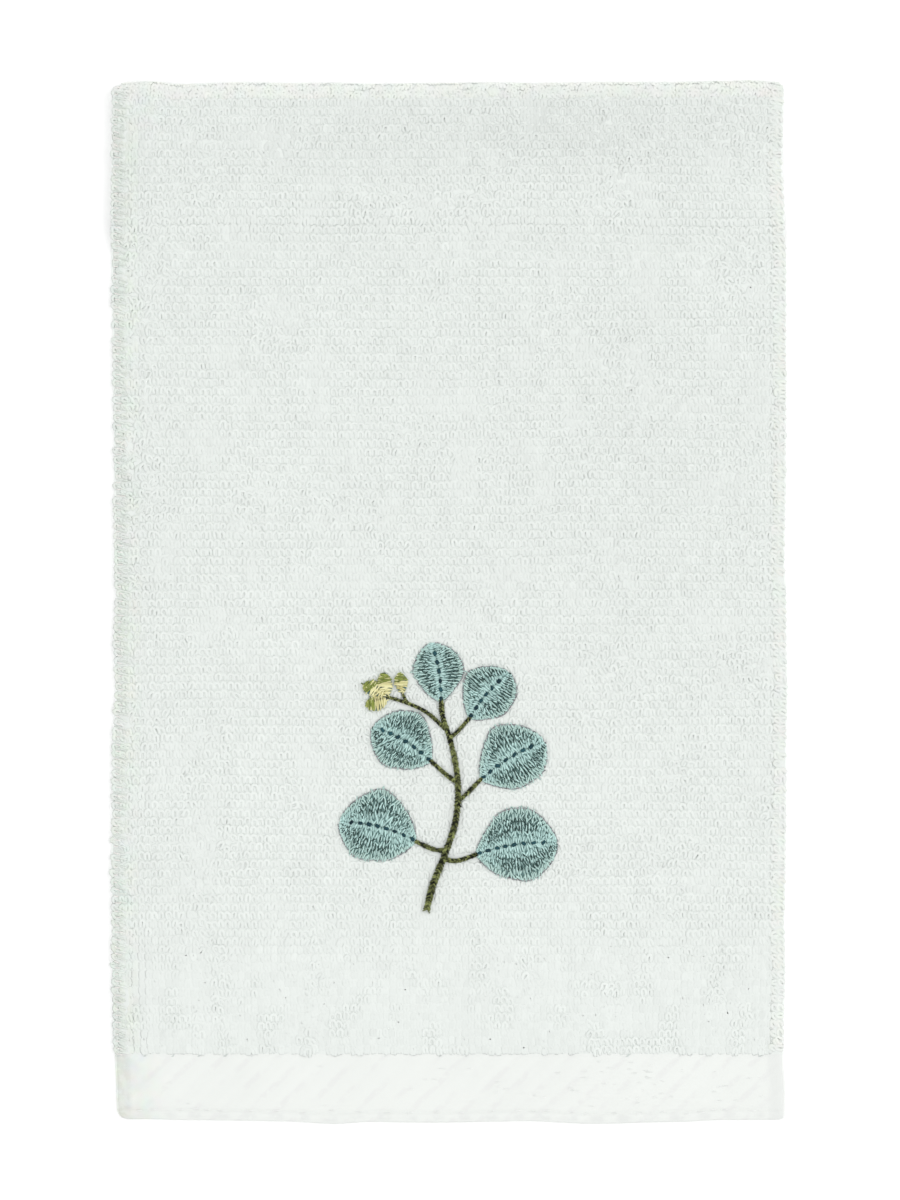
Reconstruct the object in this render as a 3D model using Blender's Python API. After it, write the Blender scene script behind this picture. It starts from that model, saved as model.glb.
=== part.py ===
"""Hand towel of cotton terry, lying face up with its top end folded under.

Metres, +Z up. X runs across the towel and Y along it, with the fold at +Y and the hem that shows at -Y.
The origin is on the surface that the towel lies on, at the middle of its footprint.

The towel is one cloth, so it is one solid. Its section along Y runs from the hem that shows, up the face,
round the fold and back under the face to the hidden hem. Each station of that section is a closed ring
across the cloth: an outer row of points on the side that shows, an inner row, and a point on each side edge.
"""

from collections import namedtuple
import math

import bmesh
import bpy

# The cloth, as cut and hemmed
CLOTH_WIDTH = 0.4064
CLOTH_LENGTH = 0.7112
PILE_THICKNESS = 0.0034
BAND_THICKNESS = 0.0024

# How it lies
FACE_LENGTH = 0.6280
FOLD_HEIGHT = 0.0084
LAYER_GAP = 0.0006
FLAP_INSET = 0.0015

# The raised diagonal ribs of the woven band
RIB_COUNT = 25
RIB_HEIGHT = 0.0006
RIB_RISE = 0.0151
STEPS_PER_RIB = 4
RIBS_START = 0.0076
RIB_ROWS = 8

# Rounded edges and corners
EDGE_ROUND = 0.0009
FOLD_CORNERS = {"left": 0.0085, "right": 0.0045}
HEM_CORNERS = {"left": 0.0060, "right": 0.0030}
CORNER_REACH = 0.030
END_WOBBLE_REACH = 0.045

# Spacing of the points
FOLD_STEPS = 6
FINE_STEPS = RIB_COUNT * STEPS_PER_RIB
SIDE_PLACES = (0, 0.5, 1, 2, 3)
PILE_STEP = 3
INNER_STEP = 12

FOLD_RADIUS = FOLD_HEIGHT / 2
FOLD_INNER_RADIUS = FOLD_RADIUS - PILE_THICKNESS
FOLD_CENTRE = FACE_LENGTH - FOLD_RADIUS
FLAP_LENGTH = CLOTH_LENGTH - FOLD_CENTRE - math.pi * (FOLD_RADIUS + FOLD_INNER_RADIUS) / 2

# Thickness of the cloth along its end, by the distance from the hem's edge
HemRow = namedtuple("HemRow", "from_edge thickness")
HEM_ROWS = (
    HemRow(0.0008, 0.0023),
    HemRow(0.0026, 0.0030),
    HemRow(0.0052, 0.0030),
    HemRow(0.0064, 0.0022),
)
BAND_TOP_ROWS = (
    HemRow(0.0394, BAND_THICKNESS),
    HemRow(0.0406, 0.0031),
    HemRow(0.0430, PILE_THICKNESS),
)

# Height of the face's underside above the surface, by the distance from the hem's edge: flat on the surface,
# up over the end of the flap, level on the flap, and a little higher where the fold springs open
FaceRest = namedtuple("FaceRest", "from_edge underside")
FACE_REST = (
    FaceRest(0.5210, 0.0),
    FaceRest(0.5455, PILE_THICKNESS + LAYER_GAP),
    FaceRest(0.6090, PILE_THICKNESS + LAYER_GAP),
    FaceRest(FOLD_CENTRE, FOLD_RADIUS + FOLD_INNER_RADIUS),
)

# Rows of points up the face: how many equal steps each stretch has
Stretch = namedtuple("Stretch", "start end steps")
FACE_STRETCHES = (
    Stretch(0.0430, 0.5210, 38),
    Stretch(0.5210, 0.5455, 3),
    Stretch(0.5455, 0.6090, 6),
    Stretch(0.6090, FOLD_CENTRE, 2),
)

# Share of the cloth's full thickness near each side edge, by the number of fine steps in from it. The low
# share one row before the full one is the line of the side hem's seam.
SideHem = namedtuple("SideHem", "steps_in left right")
SIDE_HEMS = (
    SideHem(0.0, 0.62, 0.68),
    SideHem(0.5, 0.86, 0.93),
    SideHem(1.0, 0.96, 1.00),
    SideHem(2.0, 1.00, 0.90),
    SideHem(3.0, 0.88, 1.00),
    SideHem(6.0, 1.00, 1.00),
)

# How far each side edge of the face draws in (or, where negative, stands out) down the towel
SideEdge = namedtuple("SideEdge", "below_fold left right")
SIDE_EDGES = (
    SideEdge(0.000, -0.0002, 0.0016),
    SideEdge(0.050, -0.0008, 0.0024),
    SideEdge(0.080, -0.0008, 0.0013),
    SideEdge(0.110, -0.0013, -0.0004),
    SideEdge(0.170, -0.0003, -0.0005),
    SideEdge(0.240, 0.0004, -0.0002),
    SideEdge(0.290, 0.0004, 0.0007),
    SideEdge(0.307, 0.0014, -0.0004),
    SideEdge(0.340, 0.0004, -0.0005),
    SideEdge(0.367, 0.0010, -0.0011),
    SideEdge(0.400, -0.0002, -0.0005),
    SideEdge(0.473, -0.0013, 0.0000),
    SideEdge(0.505, -0.0008, 0.0007),
    SideEdge(0.540, -0.0008, 0.0002),
    SideEdge(0.575, -0.0004, 0.0013),
    SideEdge(0.593, 0.0010, 0.0013),
    SideEdge(0.610, 0.0016, 0.0002),
    SideEdge(0.628, 0.0022, 0.0006),
)

# How far the fold and the hem that shows stand out past their straight lines across the towel
EndEdge = namedtuple("EndEdge", "across fold hem")
END_EDGES = (
    EndEdge(-0.203, -0.0002, -0.0014),
    EndEdge(-0.184, 0.0010, -0.0013),
    EndEdge(-0.162, -0.0008, -0.0008),
    EndEdge(-0.124, 0.0003, -0.0003),
    EndEdge(-0.100, -0.0002, 0.0001),
    EndEdge(-0.070, 0.0001, 0.0016),
    EndEdge(-0.048, -0.0007, 0.0004),
    EndEdge(-0.010, -0.0002, 0.0009),
    EndEdge(0.027, 0.0003, 0.0003),
    EndEdge(0.045, -0.0002, -0.0001),
    EndEdge(0.088, 0.0004, 0.0016),
    EndEdge(0.135, 0.0004, 0.0005),
    EndEdge(0.165, 0.0010, -0.0007),
    EndEdge(0.180, 0.0015, -0.0008),
    EndEdge(0.203, 0.0004, -0.0009),
)

# Soft swells and hollows of the face: middle, half sizes, turn and height
Relief = namedtuple("Relief", "across along half_across half_along turn_deg height")
RELIEFS = (
    Relief(0.085, 0.285, 0.055, 0.016, 0, -0.0010),
    Relief(-0.072, 0.273, 0.110, 0.026, 2, -0.0005),
    Relief(0.043, 0.249, 0.022, 0.030, 0, 0.0004),
    Relief(0.121, 0.158, 0.030, 0.080, 5, 0.0004),
    Relief(0.000, 0.119, 0.030, 0.028, 0, -0.0004),
    Relief(-0.074, 0.100, 0.050, 0.030, 10, -0.0003),
    Relief(-0.160, 0.000, 0.028, 0.150, 0, 0.0003),
    Relief(0.067, -0.005, 0.035, 0.060, -20, -0.0004),
    Relief(-0.105, -0.205, 0.105, 0.018, 0, 0.0006),
    Relief(0.124, -0.191, 0.036, 0.010, -27, -0.0008),
    Relief(0.150, -0.160, 0.040, 0.016, -27, 0.0004),
    Relief(0.073, -0.255, 0.080, 0.014, 0, -0.0004),
)

TERRY_COLOUR = (0.791, 0.831, 0.799, 1.0)
TERRY_ROUGHNESS = 0.95

# One station of the section. outer and inner are (y, z); places are the fine steps that hold a point of the
# outer row; ribs and relief are the shares of those forms that it takes; under is 0 on the face and 1 on the
# flap; from_end is the distance along the cloth from its own hem.
Station = namedtuple("Station", "outer inner places ribs relief under from_end")


def ease(value):
    value = min(max(value, 0.0), 1.0)
    return value * value * (3 - 2 * value)


def read_table(rows, column, at):
    """The named column of a table, eased from row to row by the table's first column."""
    if at <= rows[0][0]:
        return getattr(rows[0], column)
    for low, high in zip(rows, rows[1:]):
        if at <= high[0]:
            share = ease((at - low[0]) / (high[0] - low[0]))
            return getattr(low, column) + share * (getattr(high, column) - getattr(low, column))
    return getattr(rows[-1], column)


def edge_places(step):
    """Places across the cloth: close together in the side hems, and step apart between them."""
    middle = range(SIDE_PLACES[-1] + step, FINE_STEPS - SIDE_PLACES[-1], step)
    return [*SIDE_PLACES, *middle, *(FINE_STEPS - place for place in reversed(SIDE_PLACES))]


PILE_PLACES = edge_places(PILE_STEP)
BAND_PLACES = edge_places(1)
INNER_PLACES = [*range(0, FINE_STEPS - INNER_STEP // 2, INNER_STEP), FINE_STEPS]


def face_station(from_edge, thickness, places=PILE_PLACES, ribs=0.0):
    along = from_edge - FACE_LENGTH / 2
    underside = read_table(FACE_REST, "underside", from_edge)
    return Station((along, underside + thickness), (along, underside), places, ribs, 1.0, 0.0, from_edge)


def face_stations():
    """From the hem that shows to the top of the fold."""
    found = [face_station(row.from_edge, row.thickness) for row in HEM_ROWS]
    for row in range(RIB_ROWS + 1):
        from_edge = RIBS_START + row * RIB_RISE / STEPS_PER_RIB
        ribs = 0.5 if row in (0, RIB_ROWS) else 1.0
        found.append(face_station(from_edge, BAND_THICKNESS, BAND_PLACES, ribs))
    found += [face_station(row.from_edge, row.thickness) for row in BAND_TOP_ROWS]
    for stretch in FACE_STRETCHES:
        for step in range(1, stretch.steps + 1):
            share = step / stretch.steps
            from_edge = stretch.start + share * (stretch.end - stretch.start)
            found.append(face_station(from_edge, PILE_THICKNESS))
    return found


def fold_stations():
    """Round the fold, from just past its top to just before it meets the surface."""
    found = []
    centre = FOLD_CENTRE - FACE_LENGTH / 2
    for step in range(1, FOLD_STEPS):
        share = step / FOLD_STEPS
        sine = math.sin(math.pi * share)
        cosine = math.cos(math.pi * share)
        outer = (centre + FOLD_RADIUS * sine, FOLD_RADIUS + FOLD_RADIUS * cosine)
        inner = (centre + FOLD_INNER_RADIUS * sine, FOLD_RADIUS + FOLD_INNER_RADIUS * cosine)
        relief = max(0.0, 1 - 3 * share)
        found.append(Station(outer, inner, PILE_PLACES, 0.0, relief, ease(share), CLOTH_LENGTH))
    return found


def flap_stations():
    """From the bottom of the fold to the hidden hem. The cloth's outer side lies on the surface."""
    rows = list(HEM_ROWS)
    rows += [HemRow(RIBS_START, BAND_THICKNESS), HemRow(0.0250, BAND_THICKNESS)]
    rows += list(BAND_TOP_ROWS)
    rows += [HemRow(0.0600, PILE_THICKNESS), HemRow(FLAP_LENGTH, PILE_THICKNESS)]
    found = []
    for row in reversed(rows):
        along = FOLD_CENTRE - FLAP_LENGTH + row.from_edge - FACE_LENGTH / 2
        found.append(Station((along, 0.0), (along, row.thickness), PILE_PLACES, 0.0, 0.0, 1.0, row.from_edge))
    return found


def corner_inset(distance, radius):
    """How far a rounded corner draws the side edge in, at this distance from the end."""
    if distance >= radius:
        return 0.0
    return radius - math.sqrt(radius * radius - (radius - distance) ** 2)


def side_insets(station):
    """How far the left and the right edge of this station lie in from the nominal width."""
    from_fold = max(0.0, FACE_LENGTH / 2 - station.outer[0])
    found = {}
    for side in ("left", "right"):
        wobble = read_table(SIDE_EDGES, side, from_fold) + station.under * FLAP_INSET
        fold_corner = corner_inset(from_fold, FOLD_CORNERS[side])
        hem_corner = corner_inset(station.from_end, HEM_CORNERS[side])
        found[side] = (wobble, fold_corner + hem_corner)
    return found


def across(place, insets):
    """The X of a place at this station. A corner's inset fades out towards the middle."""
    share = place / FINE_STEPS
    left, left_corner = insets["left"]
    right, right_corner = insets["right"]
    x = -CLOTH_WIDTH / 2 + left + share * (CLOTH_WIDTH - left - right)
    from_left = share * CLOTH_WIDTH
    from_right = CLOTH_WIDTH - from_left
    x += left_corner * max(0.0, 1 - from_left / CORNER_REACH) ** 2
    x -= right_corner * max(0.0, 1 - from_right / CORNER_REACH) ** 2
    return x


def end_wobble(x, station):
    """How far the uneven fold and hem move this point along the towel."""
    from_fold = FACE_LENGTH / 2 - station.outer[0]
    at_fold = 1 - ease(from_fold / END_WOBBLE_REACH)
    at_hem = (1 - station.under) * (1 - ease(station.from_end / END_WOBBLE_REACH))
    fold = read_table(END_EDGES, "fold", x)
    hem = read_table(END_EDGES, "hem", x)
    return at_fold * fold - at_hem * hem


def relief_height(x, y):
    total = 0.0
    for form in RELIEFS:
        turn = math.radians(form.turn_deg)
        east = x - form.across
        north = y - form.along
        along_form = (east * math.cos(turn) + north * math.sin(turn)) / form.half_across
        over_form = (north * math.cos(turn) - east * math.sin(turn)) / form.half_along
        total += form.height * math.exp(-along_form ** 2 - over_form ** 2)
    return total


def rib_height(place, station):
    """Diagonal ribs that lean up to the right and stop short of the side hems."""
    inside = min(place, FINE_STEPS - place) / STEPS_PER_RIB
    turns = place / STEPS_PER_RIB - station.from_end / RIB_RISE
    wave = 0.5 + 0.5 * math.cos(2 * math.pi * turns)
    return RIB_HEIGHT * station.ribs * ease(inside - 0.5) * wave


def thickness_share(place):
    if place < FINE_STEPS / 2:
        return read_table(SIDE_HEMS, "left", place)
    return read_table(SIDE_HEMS, "right", FINE_STEPS - place)


def between(start, end, share):
    return start[0] + share * (end[0] - start[0]), start[1] + share * (end[1] - start[1])


def outer_point(place, station, insets):
    x = across(place, insets)
    y, z = between(station.inner, station.outer, thickness_share(place))
    z += rib_height(place, station) + station.relief * relief_height(x, y)
    return x, y + end_wobble(x, station), z


def inner_point(place, station, insets):
    x = across(place, insets)
    y, z = station.inner
    return x, y + end_wobble(x, station), z


def rim_point(place, station, insets):
    """On a side edge, half way through the cloth."""
    x = across(place, insets)
    y, z = between(station.inner, station.outer, thickness_share(place) / 2)
    return x, y + end_wobble(x, station), z


def rounded_in(point, place):
    """Moves the ends of a row in from the side edge, so that the edge is round."""
    inward = {0: EDGE_ROUND, FINE_STEPS: -EDGE_ROUND}.get(place, 0.0)
    return point[0] + inward, point[1], point[2]


Ring = namedtuple("Ring", "outer inner left right")


def make_ring(mesh, station):
    insets = side_insets(station)
    outer = {}
    for place in station.places:
        outer[place] = mesh.verts.new(rounded_in(outer_point(place, station, insets), place))
    inner = {}
    for place in INNER_PLACES:
        inner[place] = mesh.verts.new(rounded_in(inner_point(place, station, insets), place))
    left = mesh.verts.new(rim_point(0, station, insets))
    right = mesh.verts.new(rim_point(FINE_STEPS, station, insets))
    return Ring(outer, inner, left, right)


def make_rim(mesh, station):
    """The row of points along the very edge of a hem, half way through the cloth."""
    insets = side_insets(station._replace(from_end=0.0))
    rim = {}
    for place in station.places:
        x, y, z = rim_point(place, station, insets)
        rim[place] = mesh.verts.new(rounded_in((x, y - station.from_end, z), place))
    return rim


def join_rows(mesh, first, second, leaning=False):
    """Faces between two rows, the coarser of which has no place that the finer lacks. Leaning gives
    triangles whose shared side rises to the right, along the ribs."""
    coarse, fine = (first, second) if len(first) <= len(second) else (second, first)
    for left, right in zip(list(coarse), list(coarse)[1:]):
        run = [place for place in fine if left <= place <= right]
        if len(run) == 2 and leaning:
            mesh.faces.new((first[left], first[right], second[right]))
            mesh.faces.new((first[left], second[right], second[left]))
            continue
        if len(run) == 2:
            mesh.faces.new((coarse[left], coarse[right], fine[right], fine[left]))
            continue
        middle = len(run) // 2
        for index, (low, high) in enumerate(zip(run, run[1:])):
            corner = coarse[left] if index < middle else coarse[right]
            mesh.faces.new((corner, fine[high], fine[low]))
        mesh.faces.new((coarse[left], coarse[right], fine[run[middle]]))


def join_rings(mesh, first, second):
    ribbed = len(first.outer) == len(second.outer) == len(BAND_PLACES)
    join_rows(mesh, first.outer, second.outer, leaning=ribbed)
    join_rows(mesh, first.inner, second.inner)
    for place, side in ((0, "left"), (FINE_STEPS, "right")):
        here, there = getattr(first, side), getattr(second, side)
        mesh.faces.new((first.outer[place], second.outer[place], there, here))
        mesh.faces.new((first.inner[place], second.inner[place], there, here))


def close_end(mesh, ring, rim):
    join_rows(mesh, ring.outer, rim)
    join_rows(mesh, ring.inner, rim)
    for place, side_point in ((0, ring.left), (FINE_STEPS, ring.right)):
        mesh.faces.new((ring.outer[place], rim[place], side_point))
        mesh.faces.new((ring.inner[place], rim[place], side_point))


def centre_on_origin(mesh):
    """Moves the footprint's middle to the origin."""
    xs = [vert.co.x for vert in mesh.verts]
    ys = [vert.co.y for vert in mesh.verts]
    shift = (-(min(xs) + max(xs)) / 2, -(min(ys) + max(ys)) / 2, 0.0)
    bmesh.ops.translate(mesh, vec=shift, verts=mesh.verts)


def make_towel():
    mesh = bmesh.new()
    stations = face_stations() + fold_stations() + flap_stations()
    rings = [make_ring(mesh, station) for station in stations]
    for first, second in zip(rings, rings[1:]):
        join_rings(mesh, first, second)
    close_end(mesh, rings[0], make_rim(mesh, stations[0]))
    close_end(mesh, rings[-1], make_rim(mesh, stations[-1]))
    centre_on_origin(mesh)
    bmesh.ops.recalc_face_normals(mesh, faces=mesh.faces)
    data = bpy.data.meshes.new("towel")
    mesh.to_mesh(data)
    mesh.free()
    data.shade_smooth()
    towel = bpy.data.objects.new("towel", data)
    bpy.context.scene.collection.objects.link(towel)
    return towel


def terry_material():
    material = bpy.data.materials.new("terry")
    material.use_nodes = True
    shader = material.node_tree.nodes["Principled BSDF"]
    shader.inputs["Base Color"].default_value = TERRY_COLOUR
    shader.inputs["Roughness"].default_value = TERRY_ROUGHNESS
    shader.inputs["Metallic"].default_value = 0.0
    return material


def main():
    for old in list(bpy.data.objects):
        bpy.data.objects.remove(old)
    make_towel().data.materials.append(terry_material())


main()
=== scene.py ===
"""Looks of the hand towel: terry cloth with a looped pile, sewn hems and an embroidered sprig.

Metres, +Z up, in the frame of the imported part: X runs across the towel, Y along it with the fold at +Y and
the hem that shows at -Y, and the towel lies on z = 0.
"""
from collections import namedtuple
import math

import bmesh
import bpy
from mathutils import Matrix, Vector, noise
import numpy as np


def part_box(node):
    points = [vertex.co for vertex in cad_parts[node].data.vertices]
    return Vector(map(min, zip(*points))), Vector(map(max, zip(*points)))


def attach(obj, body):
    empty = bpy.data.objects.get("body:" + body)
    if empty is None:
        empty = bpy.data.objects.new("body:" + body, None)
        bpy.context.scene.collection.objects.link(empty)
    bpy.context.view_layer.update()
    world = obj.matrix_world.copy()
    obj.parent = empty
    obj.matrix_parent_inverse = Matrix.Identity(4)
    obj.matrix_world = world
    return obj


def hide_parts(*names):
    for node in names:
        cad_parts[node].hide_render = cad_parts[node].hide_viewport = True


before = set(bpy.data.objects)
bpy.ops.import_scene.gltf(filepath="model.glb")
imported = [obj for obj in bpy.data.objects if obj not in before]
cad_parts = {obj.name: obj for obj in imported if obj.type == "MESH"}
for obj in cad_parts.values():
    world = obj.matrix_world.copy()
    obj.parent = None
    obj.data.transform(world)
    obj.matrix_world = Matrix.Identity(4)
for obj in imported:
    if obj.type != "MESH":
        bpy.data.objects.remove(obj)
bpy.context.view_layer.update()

BODY = "root"
CLOTH_NODE = "towel"
MM = 0.001

# The cloth and how it lies, as in the part's source
CLOTH_WIDTH = 0.4064
CLOTH_LENGTH = 0.7112
PILE_THICKNESS = 0.0034
BAND_THICKNESS = 0.0024
FACE_LENGTH = 0.6280
FOLD_HEIGHT = 0.0084
LAYER_GAP = 0.0006
FLAP_INSET = 0.0015
FOLD_RADIUS = FOLD_HEIGHT / 2
FOLD_INNER_RADIUS = FOLD_RADIUS - PILE_THICKNESS
FOLD_CENTRE = FACE_LENGTH - FOLD_RADIUS
FOLD_ARC = math.pi * (FOLD_RADIUS + FOLD_INNER_RADIUS) / 2
EDGE_ROUND = 0.0009
FOLD_CORNERS = {"left": 0.0085, "right": 0.0045}
HEM_CORNERS = {"left": 0.0060, "right": 0.0030}
CORNER_REACH = 0.030
END_WOBBLE_REACH = 0.045

# The turned hem that shows: the line of its seam, and where the band starts
HEM_SEAM = 0.0064
HEM_WIDTH = 0.0078

# The raised diagonal ribs of the woven band, and over what length they rise and fade at its edges
RIB_COUNT = 25
RIB_HEIGHT = 0.0006
RIB_RISE = 0.0151
RIBS_START = 0.0076
RIBS_END = 0.0385
RIB_FADE_IN = 0.004
RIB_FADE_OUT = 0.003

# The looped pile: its edge at the band, and its height above the ground
PILE_START = 0.0402
PILE_RISE = 0.0006
GROUND_THICKNESS = PILE_THICKNESS - PILE_RISE

# Thickness of the cloth, without its loops, by the distance from the hem's edge
Thickness = namedtuple("Thickness", "from_edge thickness")
THICKNESSES = (
    Thickness(0.0000, 0.0019),
    Thickness(0.0010, 0.0024),
    Thickness(0.0030, 0.0030),
    Thickness(0.0052, 0.0029),
    Thickness(HEM_SEAM, 0.0021),
    Thickness(HEM_WIDTH, BAND_THICKNESS),
    Thickness(0.0392, BAND_THICKNESS),
    Thickness(0.0420, GROUND_THICKNESS),
)

# Height of the face's underside above the surface, by the distance from the hem's edge
FaceRest = namedtuple("FaceRest", "from_edge underside")
FACE_REST = (
    FaceRest(0.5210, 0.0),
    FaceRest(0.5455, PILE_THICKNESS + LAYER_GAP),
    FaceRest(0.6090, PILE_THICKNESS + LAYER_GAP),
    FaceRest(FOLD_CENTRE, FOLD_RADIUS + FOLD_INNER_RADIUS),
)

# Share of the cloth's full thickness near each side edge. The low share is the line of the side hem's seam.
SIDE_HEM_WIDTH = 0.0122
SideHem = namedtuple("SideHem", "from_side left right")
SIDE_HEMS = (
    SideHem(0.0000, 0.62, 0.68),
    SideHem(0.0020, 0.86, 0.93),
    SideHem(0.0041, 0.96, 1.00),
    SideHem(0.0081, 1.00, 0.90),
    SideHem(SIDE_HEM_WIDTH, 0.88, 1.00),
    SideHem(2 * SIDE_HEM_WIDTH, 1.00, 1.00),
)

# How far each side edge of the face draws in (or, where negative, stands out) down the towel
SideEdge = namedtuple("SideEdge", "below_fold left right")
SIDE_EDGES = (
    SideEdge(0.000, -0.0002, 0.0016),
    SideEdge(0.050, -0.0008, 0.0024),
    SideEdge(0.080, -0.0008, 0.0013),
    SideEdge(0.110, -0.0013, -0.0004),
    SideEdge(0.170, -0.0003, -0.0005),
    SideEdge(0.240, 0.0004, -0.0002),
    SideEdge(0.290, 0.0004, 0.0007),
    SideEdge(0.307, 0.0014, -0.0004),
    SideEdge(0.340, 0.0004, -0.0005),
    SideEdge(0.367, 0.0010, -0.0011),
    SideEdge(0.400, -0.0002, -0.0005),
    SideEdge(0.473, -0.0013, 0.0000),
    SideEdge(0.505, -0.0008, 0.0007),
    SideEdge(0.540, -0.0008, 0.0002),
    SideEdge(0.575, -0.0004, 0.0013),
    SideEdge(0.593, 0.0010, 0.0013),
    SideEdge(0.610, 0.0016, 0.0002),
    SideEdge(0.628, 0.0022, 0.0006),
)

# How far the fold and the hem that shows stand out past their straight lines across the towel
EndEdge = namedtuple("EndEdge", "across fold hem")
END_EDGES = (
    EndEdge(-0.203, -0.0002, -0.0014),
    EndEdge(-0.184, 0.0010, -0.0013),
    EndEdge(-0.162, -0.0008, -0.0008),
    EndEdge(-0.124, 0.0003, -0.0003),
    EndEdge(-0.100, -0.0002, 0.0001),
    EndEdge(-0.070, 0.0001, 0.0016),
    EndEdge(-0.048, -0.0007, 0.0004),
    EndEdge(-0.010, -0.0002, 0.0009),
    EndEdge(0.027, 0.0003, 0.0003),
    EndEdge(0.045, -0.0002, -0.0001),
    EndEdge(0.088, 0.0004, 0.0016),
    EndEdge(0.135, 0.0004, 0.0005),
    EndEdge(0.165, 0.0010, -0.0007),
    EndEdge(0.180, 0.0015, -0.0008),
    EndEdge(0.203, 0.0004, -0.0009),
)

# Soft swells and hollows of the face: middle, half sizes, turn and height. Each reaches this many of its half
# sizes, and all fade out as the cloth turns under by this share.
RELIEF_REACH = 3.0
RELIEF_UNDER = 0.3
Relief = namedtuple("Relief", "across along half_across half_along turn_deg height")
RELIEFS = (
    Relief(0.085, 0.285, 0.055, 0.016, 0, -0.0010),
    Relief(-0.072, 0.273, 0.110, 0.026, 2, -0.0005),
    Relief(0.043, 0.249, 0.022, 0.030, 0, 0.0004),
    Relief(0.121, 0.158, 0.030, 0.080, 5, 0.0004),
    Relief(0.000, 0.119, 0.030, 0.028, 0, -0.0004),
    Relief(-0.074, 0.100, 0.050, 0.030, 10, -0.0003),
    Relief(-0.160, 0.000, 0.028, 0.150, 0, 0.0003),
    Relief(0.067, -0.005, 0.035, 0.060, -20, -0.0004),
    Relief(-0.105, -0.205, 0.105, 0.018, 0, 0.0006),
    Relief(0.124, -0.191, 0.036, 0.010, -27, -0.0008),
    Relief(0.150, -0.160, 0.040, 0.016, -27, 0.0004),
    Relief(0.073, -0.255, 0.080, 0.014, 0, -0.0004),
)

# How strongly the ribs stand up across the band: crisp in places and pressed nearly flat in others
RibStrength = namedtuple("RibStrength", "across share")
RIB_STRENGTHS = (
    RibStrength(-0.190, 0.40),
    RibStrength(-0.165, 0.85),
    RibStrength(-0.130, 1.00),
    RibStrength(-0.090, 0.90),
    RibStrength(-0.060, 0.50),
    RibStrength(-0.020, 0.50),
    RibStrength(0.020, 1.00),
    RibStrength(0.060, 0.95),
    RibStrength(0.090, 0.55),
    RibStrength(0.130, 0.65),
    RibStrength(0.180, 0.60),
)

# Short puckers of the band, raised where the hem's seam draws it up
PUCKERS = (
    Relief(0.097, -0.2985, 0.012, 0.0012, -8, 0.0004),
    Relief(0.110, -0.2925, 0.010, 0.0011, 20, 0.0005),
    Relief(0.122, -0.3010, 0.013, 0.0012, 24, 0.0005),
    Relief(0.133, -0.2950, 0.010, 0.0010, 12, 0.0004),
    Relief(0.147, -0.3020, 0.011, 0.0012, -10, 0.0004),
    Relief(0.160, -0.2960, 0.009, 0.0010, 15, 0.0003),
    Relief(0.085, -0.2905, 0.012, 0.0010, 10, 0.0003),
    Relief(-0.062, -0.3015, 0.010, 0.0011, 12, 0.0003),
    Relief(0.012, -0.3005, 0.012, 0.0011, -6, 0.0003),
    Relief(0.046, -0.2960, 0.009, 0.0010, 10, 0.0003),
)


def ease(value):
    """0 up to 0, 1 from 1 on, and a smooth rise between them."""
    value = min(max(value, 0.0), 1.0)
    return value * value * (3 - 2 * value)


def read_table(rows, column, at):
    """The named column of a table, eased from row to row by the table's first column."""
    if at <= rows[0][0]:
        return getattr(rows[0], column)
    for low, high in zip(rows, rows[1:]):
        if at <= high[0]:
            share = ease((at - low[0]) / (high[0] - low[0]))
            return getattr(low, column) + share * (getattr(high, column) - getattr(low, column))
    return getattr(rows[-1], column)


# ---- Where the cloth lies -----------------------------------------------------------------------------


# The cloth's section at one distance along it: outer and inner (y, z), how far it is turned under, from 0 on
# the face to 1 on the flap, and the distance to the nearest end of the cloth
Section = namedtuple("Section", "outer inner under from_end")


def section_at(along):
    """The cloth's section at this distance along it from the hem that shows."""
    if along <= FOLD_CENTRE:
        y = along - FACE_LENGTH / 2
        underside = read_table(FACE_REST, "underside", along)
        thickness = read_table(THICKNESSES, "thickness", along)
        return Section((y, underside + thickness), (y, underside), 0.0, along)
    centre = FOLD_CENTRE - FACE_LENGTH / 2
    from_end = CLOTH_LENGTH - along
    if along < FOLD_CENTRE + FOLD_ARC:
        turn = math.pi * (along - FOLD_CENTRE) / FOLD_ARC
        outer, inner = (
            (centre + radius * math.sin(turn), FOLD_RADIUS + radius * math.cos(turn))
            for radius in (FOLD_RADIUS - PILE_RISE, FOLD_INNER_RADIUS))
        return Section(outer, inner, ease(turn / math.pi), CLOTH_LENGTH)
    y = centre - (along - FOLD_CENTRE - FOLD_ARC)
    thickness = read_table(THICKNESSES, "thickness", from_end)
    lowest = min(PILE_THICKNESS - thickness, PILE_RISE)
    return Section((y, lowest), (y, lowest + thickness), 1.0, from_end)


def corner_inset(distance, radius):
    """How far a rounded corner draws the side edge in, at this distance from the end."""
    if distance >= radius:
        return 0.0
    return radius - math.sqrt(radius * radius - (radius - distance) ** 2)


def across_at(share, section):
    """The X of a place, as a share of the cloth's width from its left edge."""
    from_fold = max(0.0, FACE_LENGTH / 2 - section.outer[0])
    insets = []
    for side in ("left", "right"):
        wobble = read_table(SIDE_EDGES, side, from_fold) + section.under * FLAP_INSET
        corner = corner_inset(from_fold, FOLD_CORNERS[side])
        corner += corner_inset(section.from_end, HEM_CORNERS[side])
        insets.append((wobble, corner))
    (left, left_corner), (right, right_corner) = insets
    x = -CLOTH_WIDTH / 2 + left + share * (CLOTH_WIDTH - left - right)
    x += left_corner * max(0.0, 1 - share * CLOTH_WIDTH / CORNER_REACH) ** 2
    x -= right_corner * max(0.0, 1 - (1 - share) * CLOTH_WIDTH / CORNER_REACH) ** 2
    return x


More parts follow.
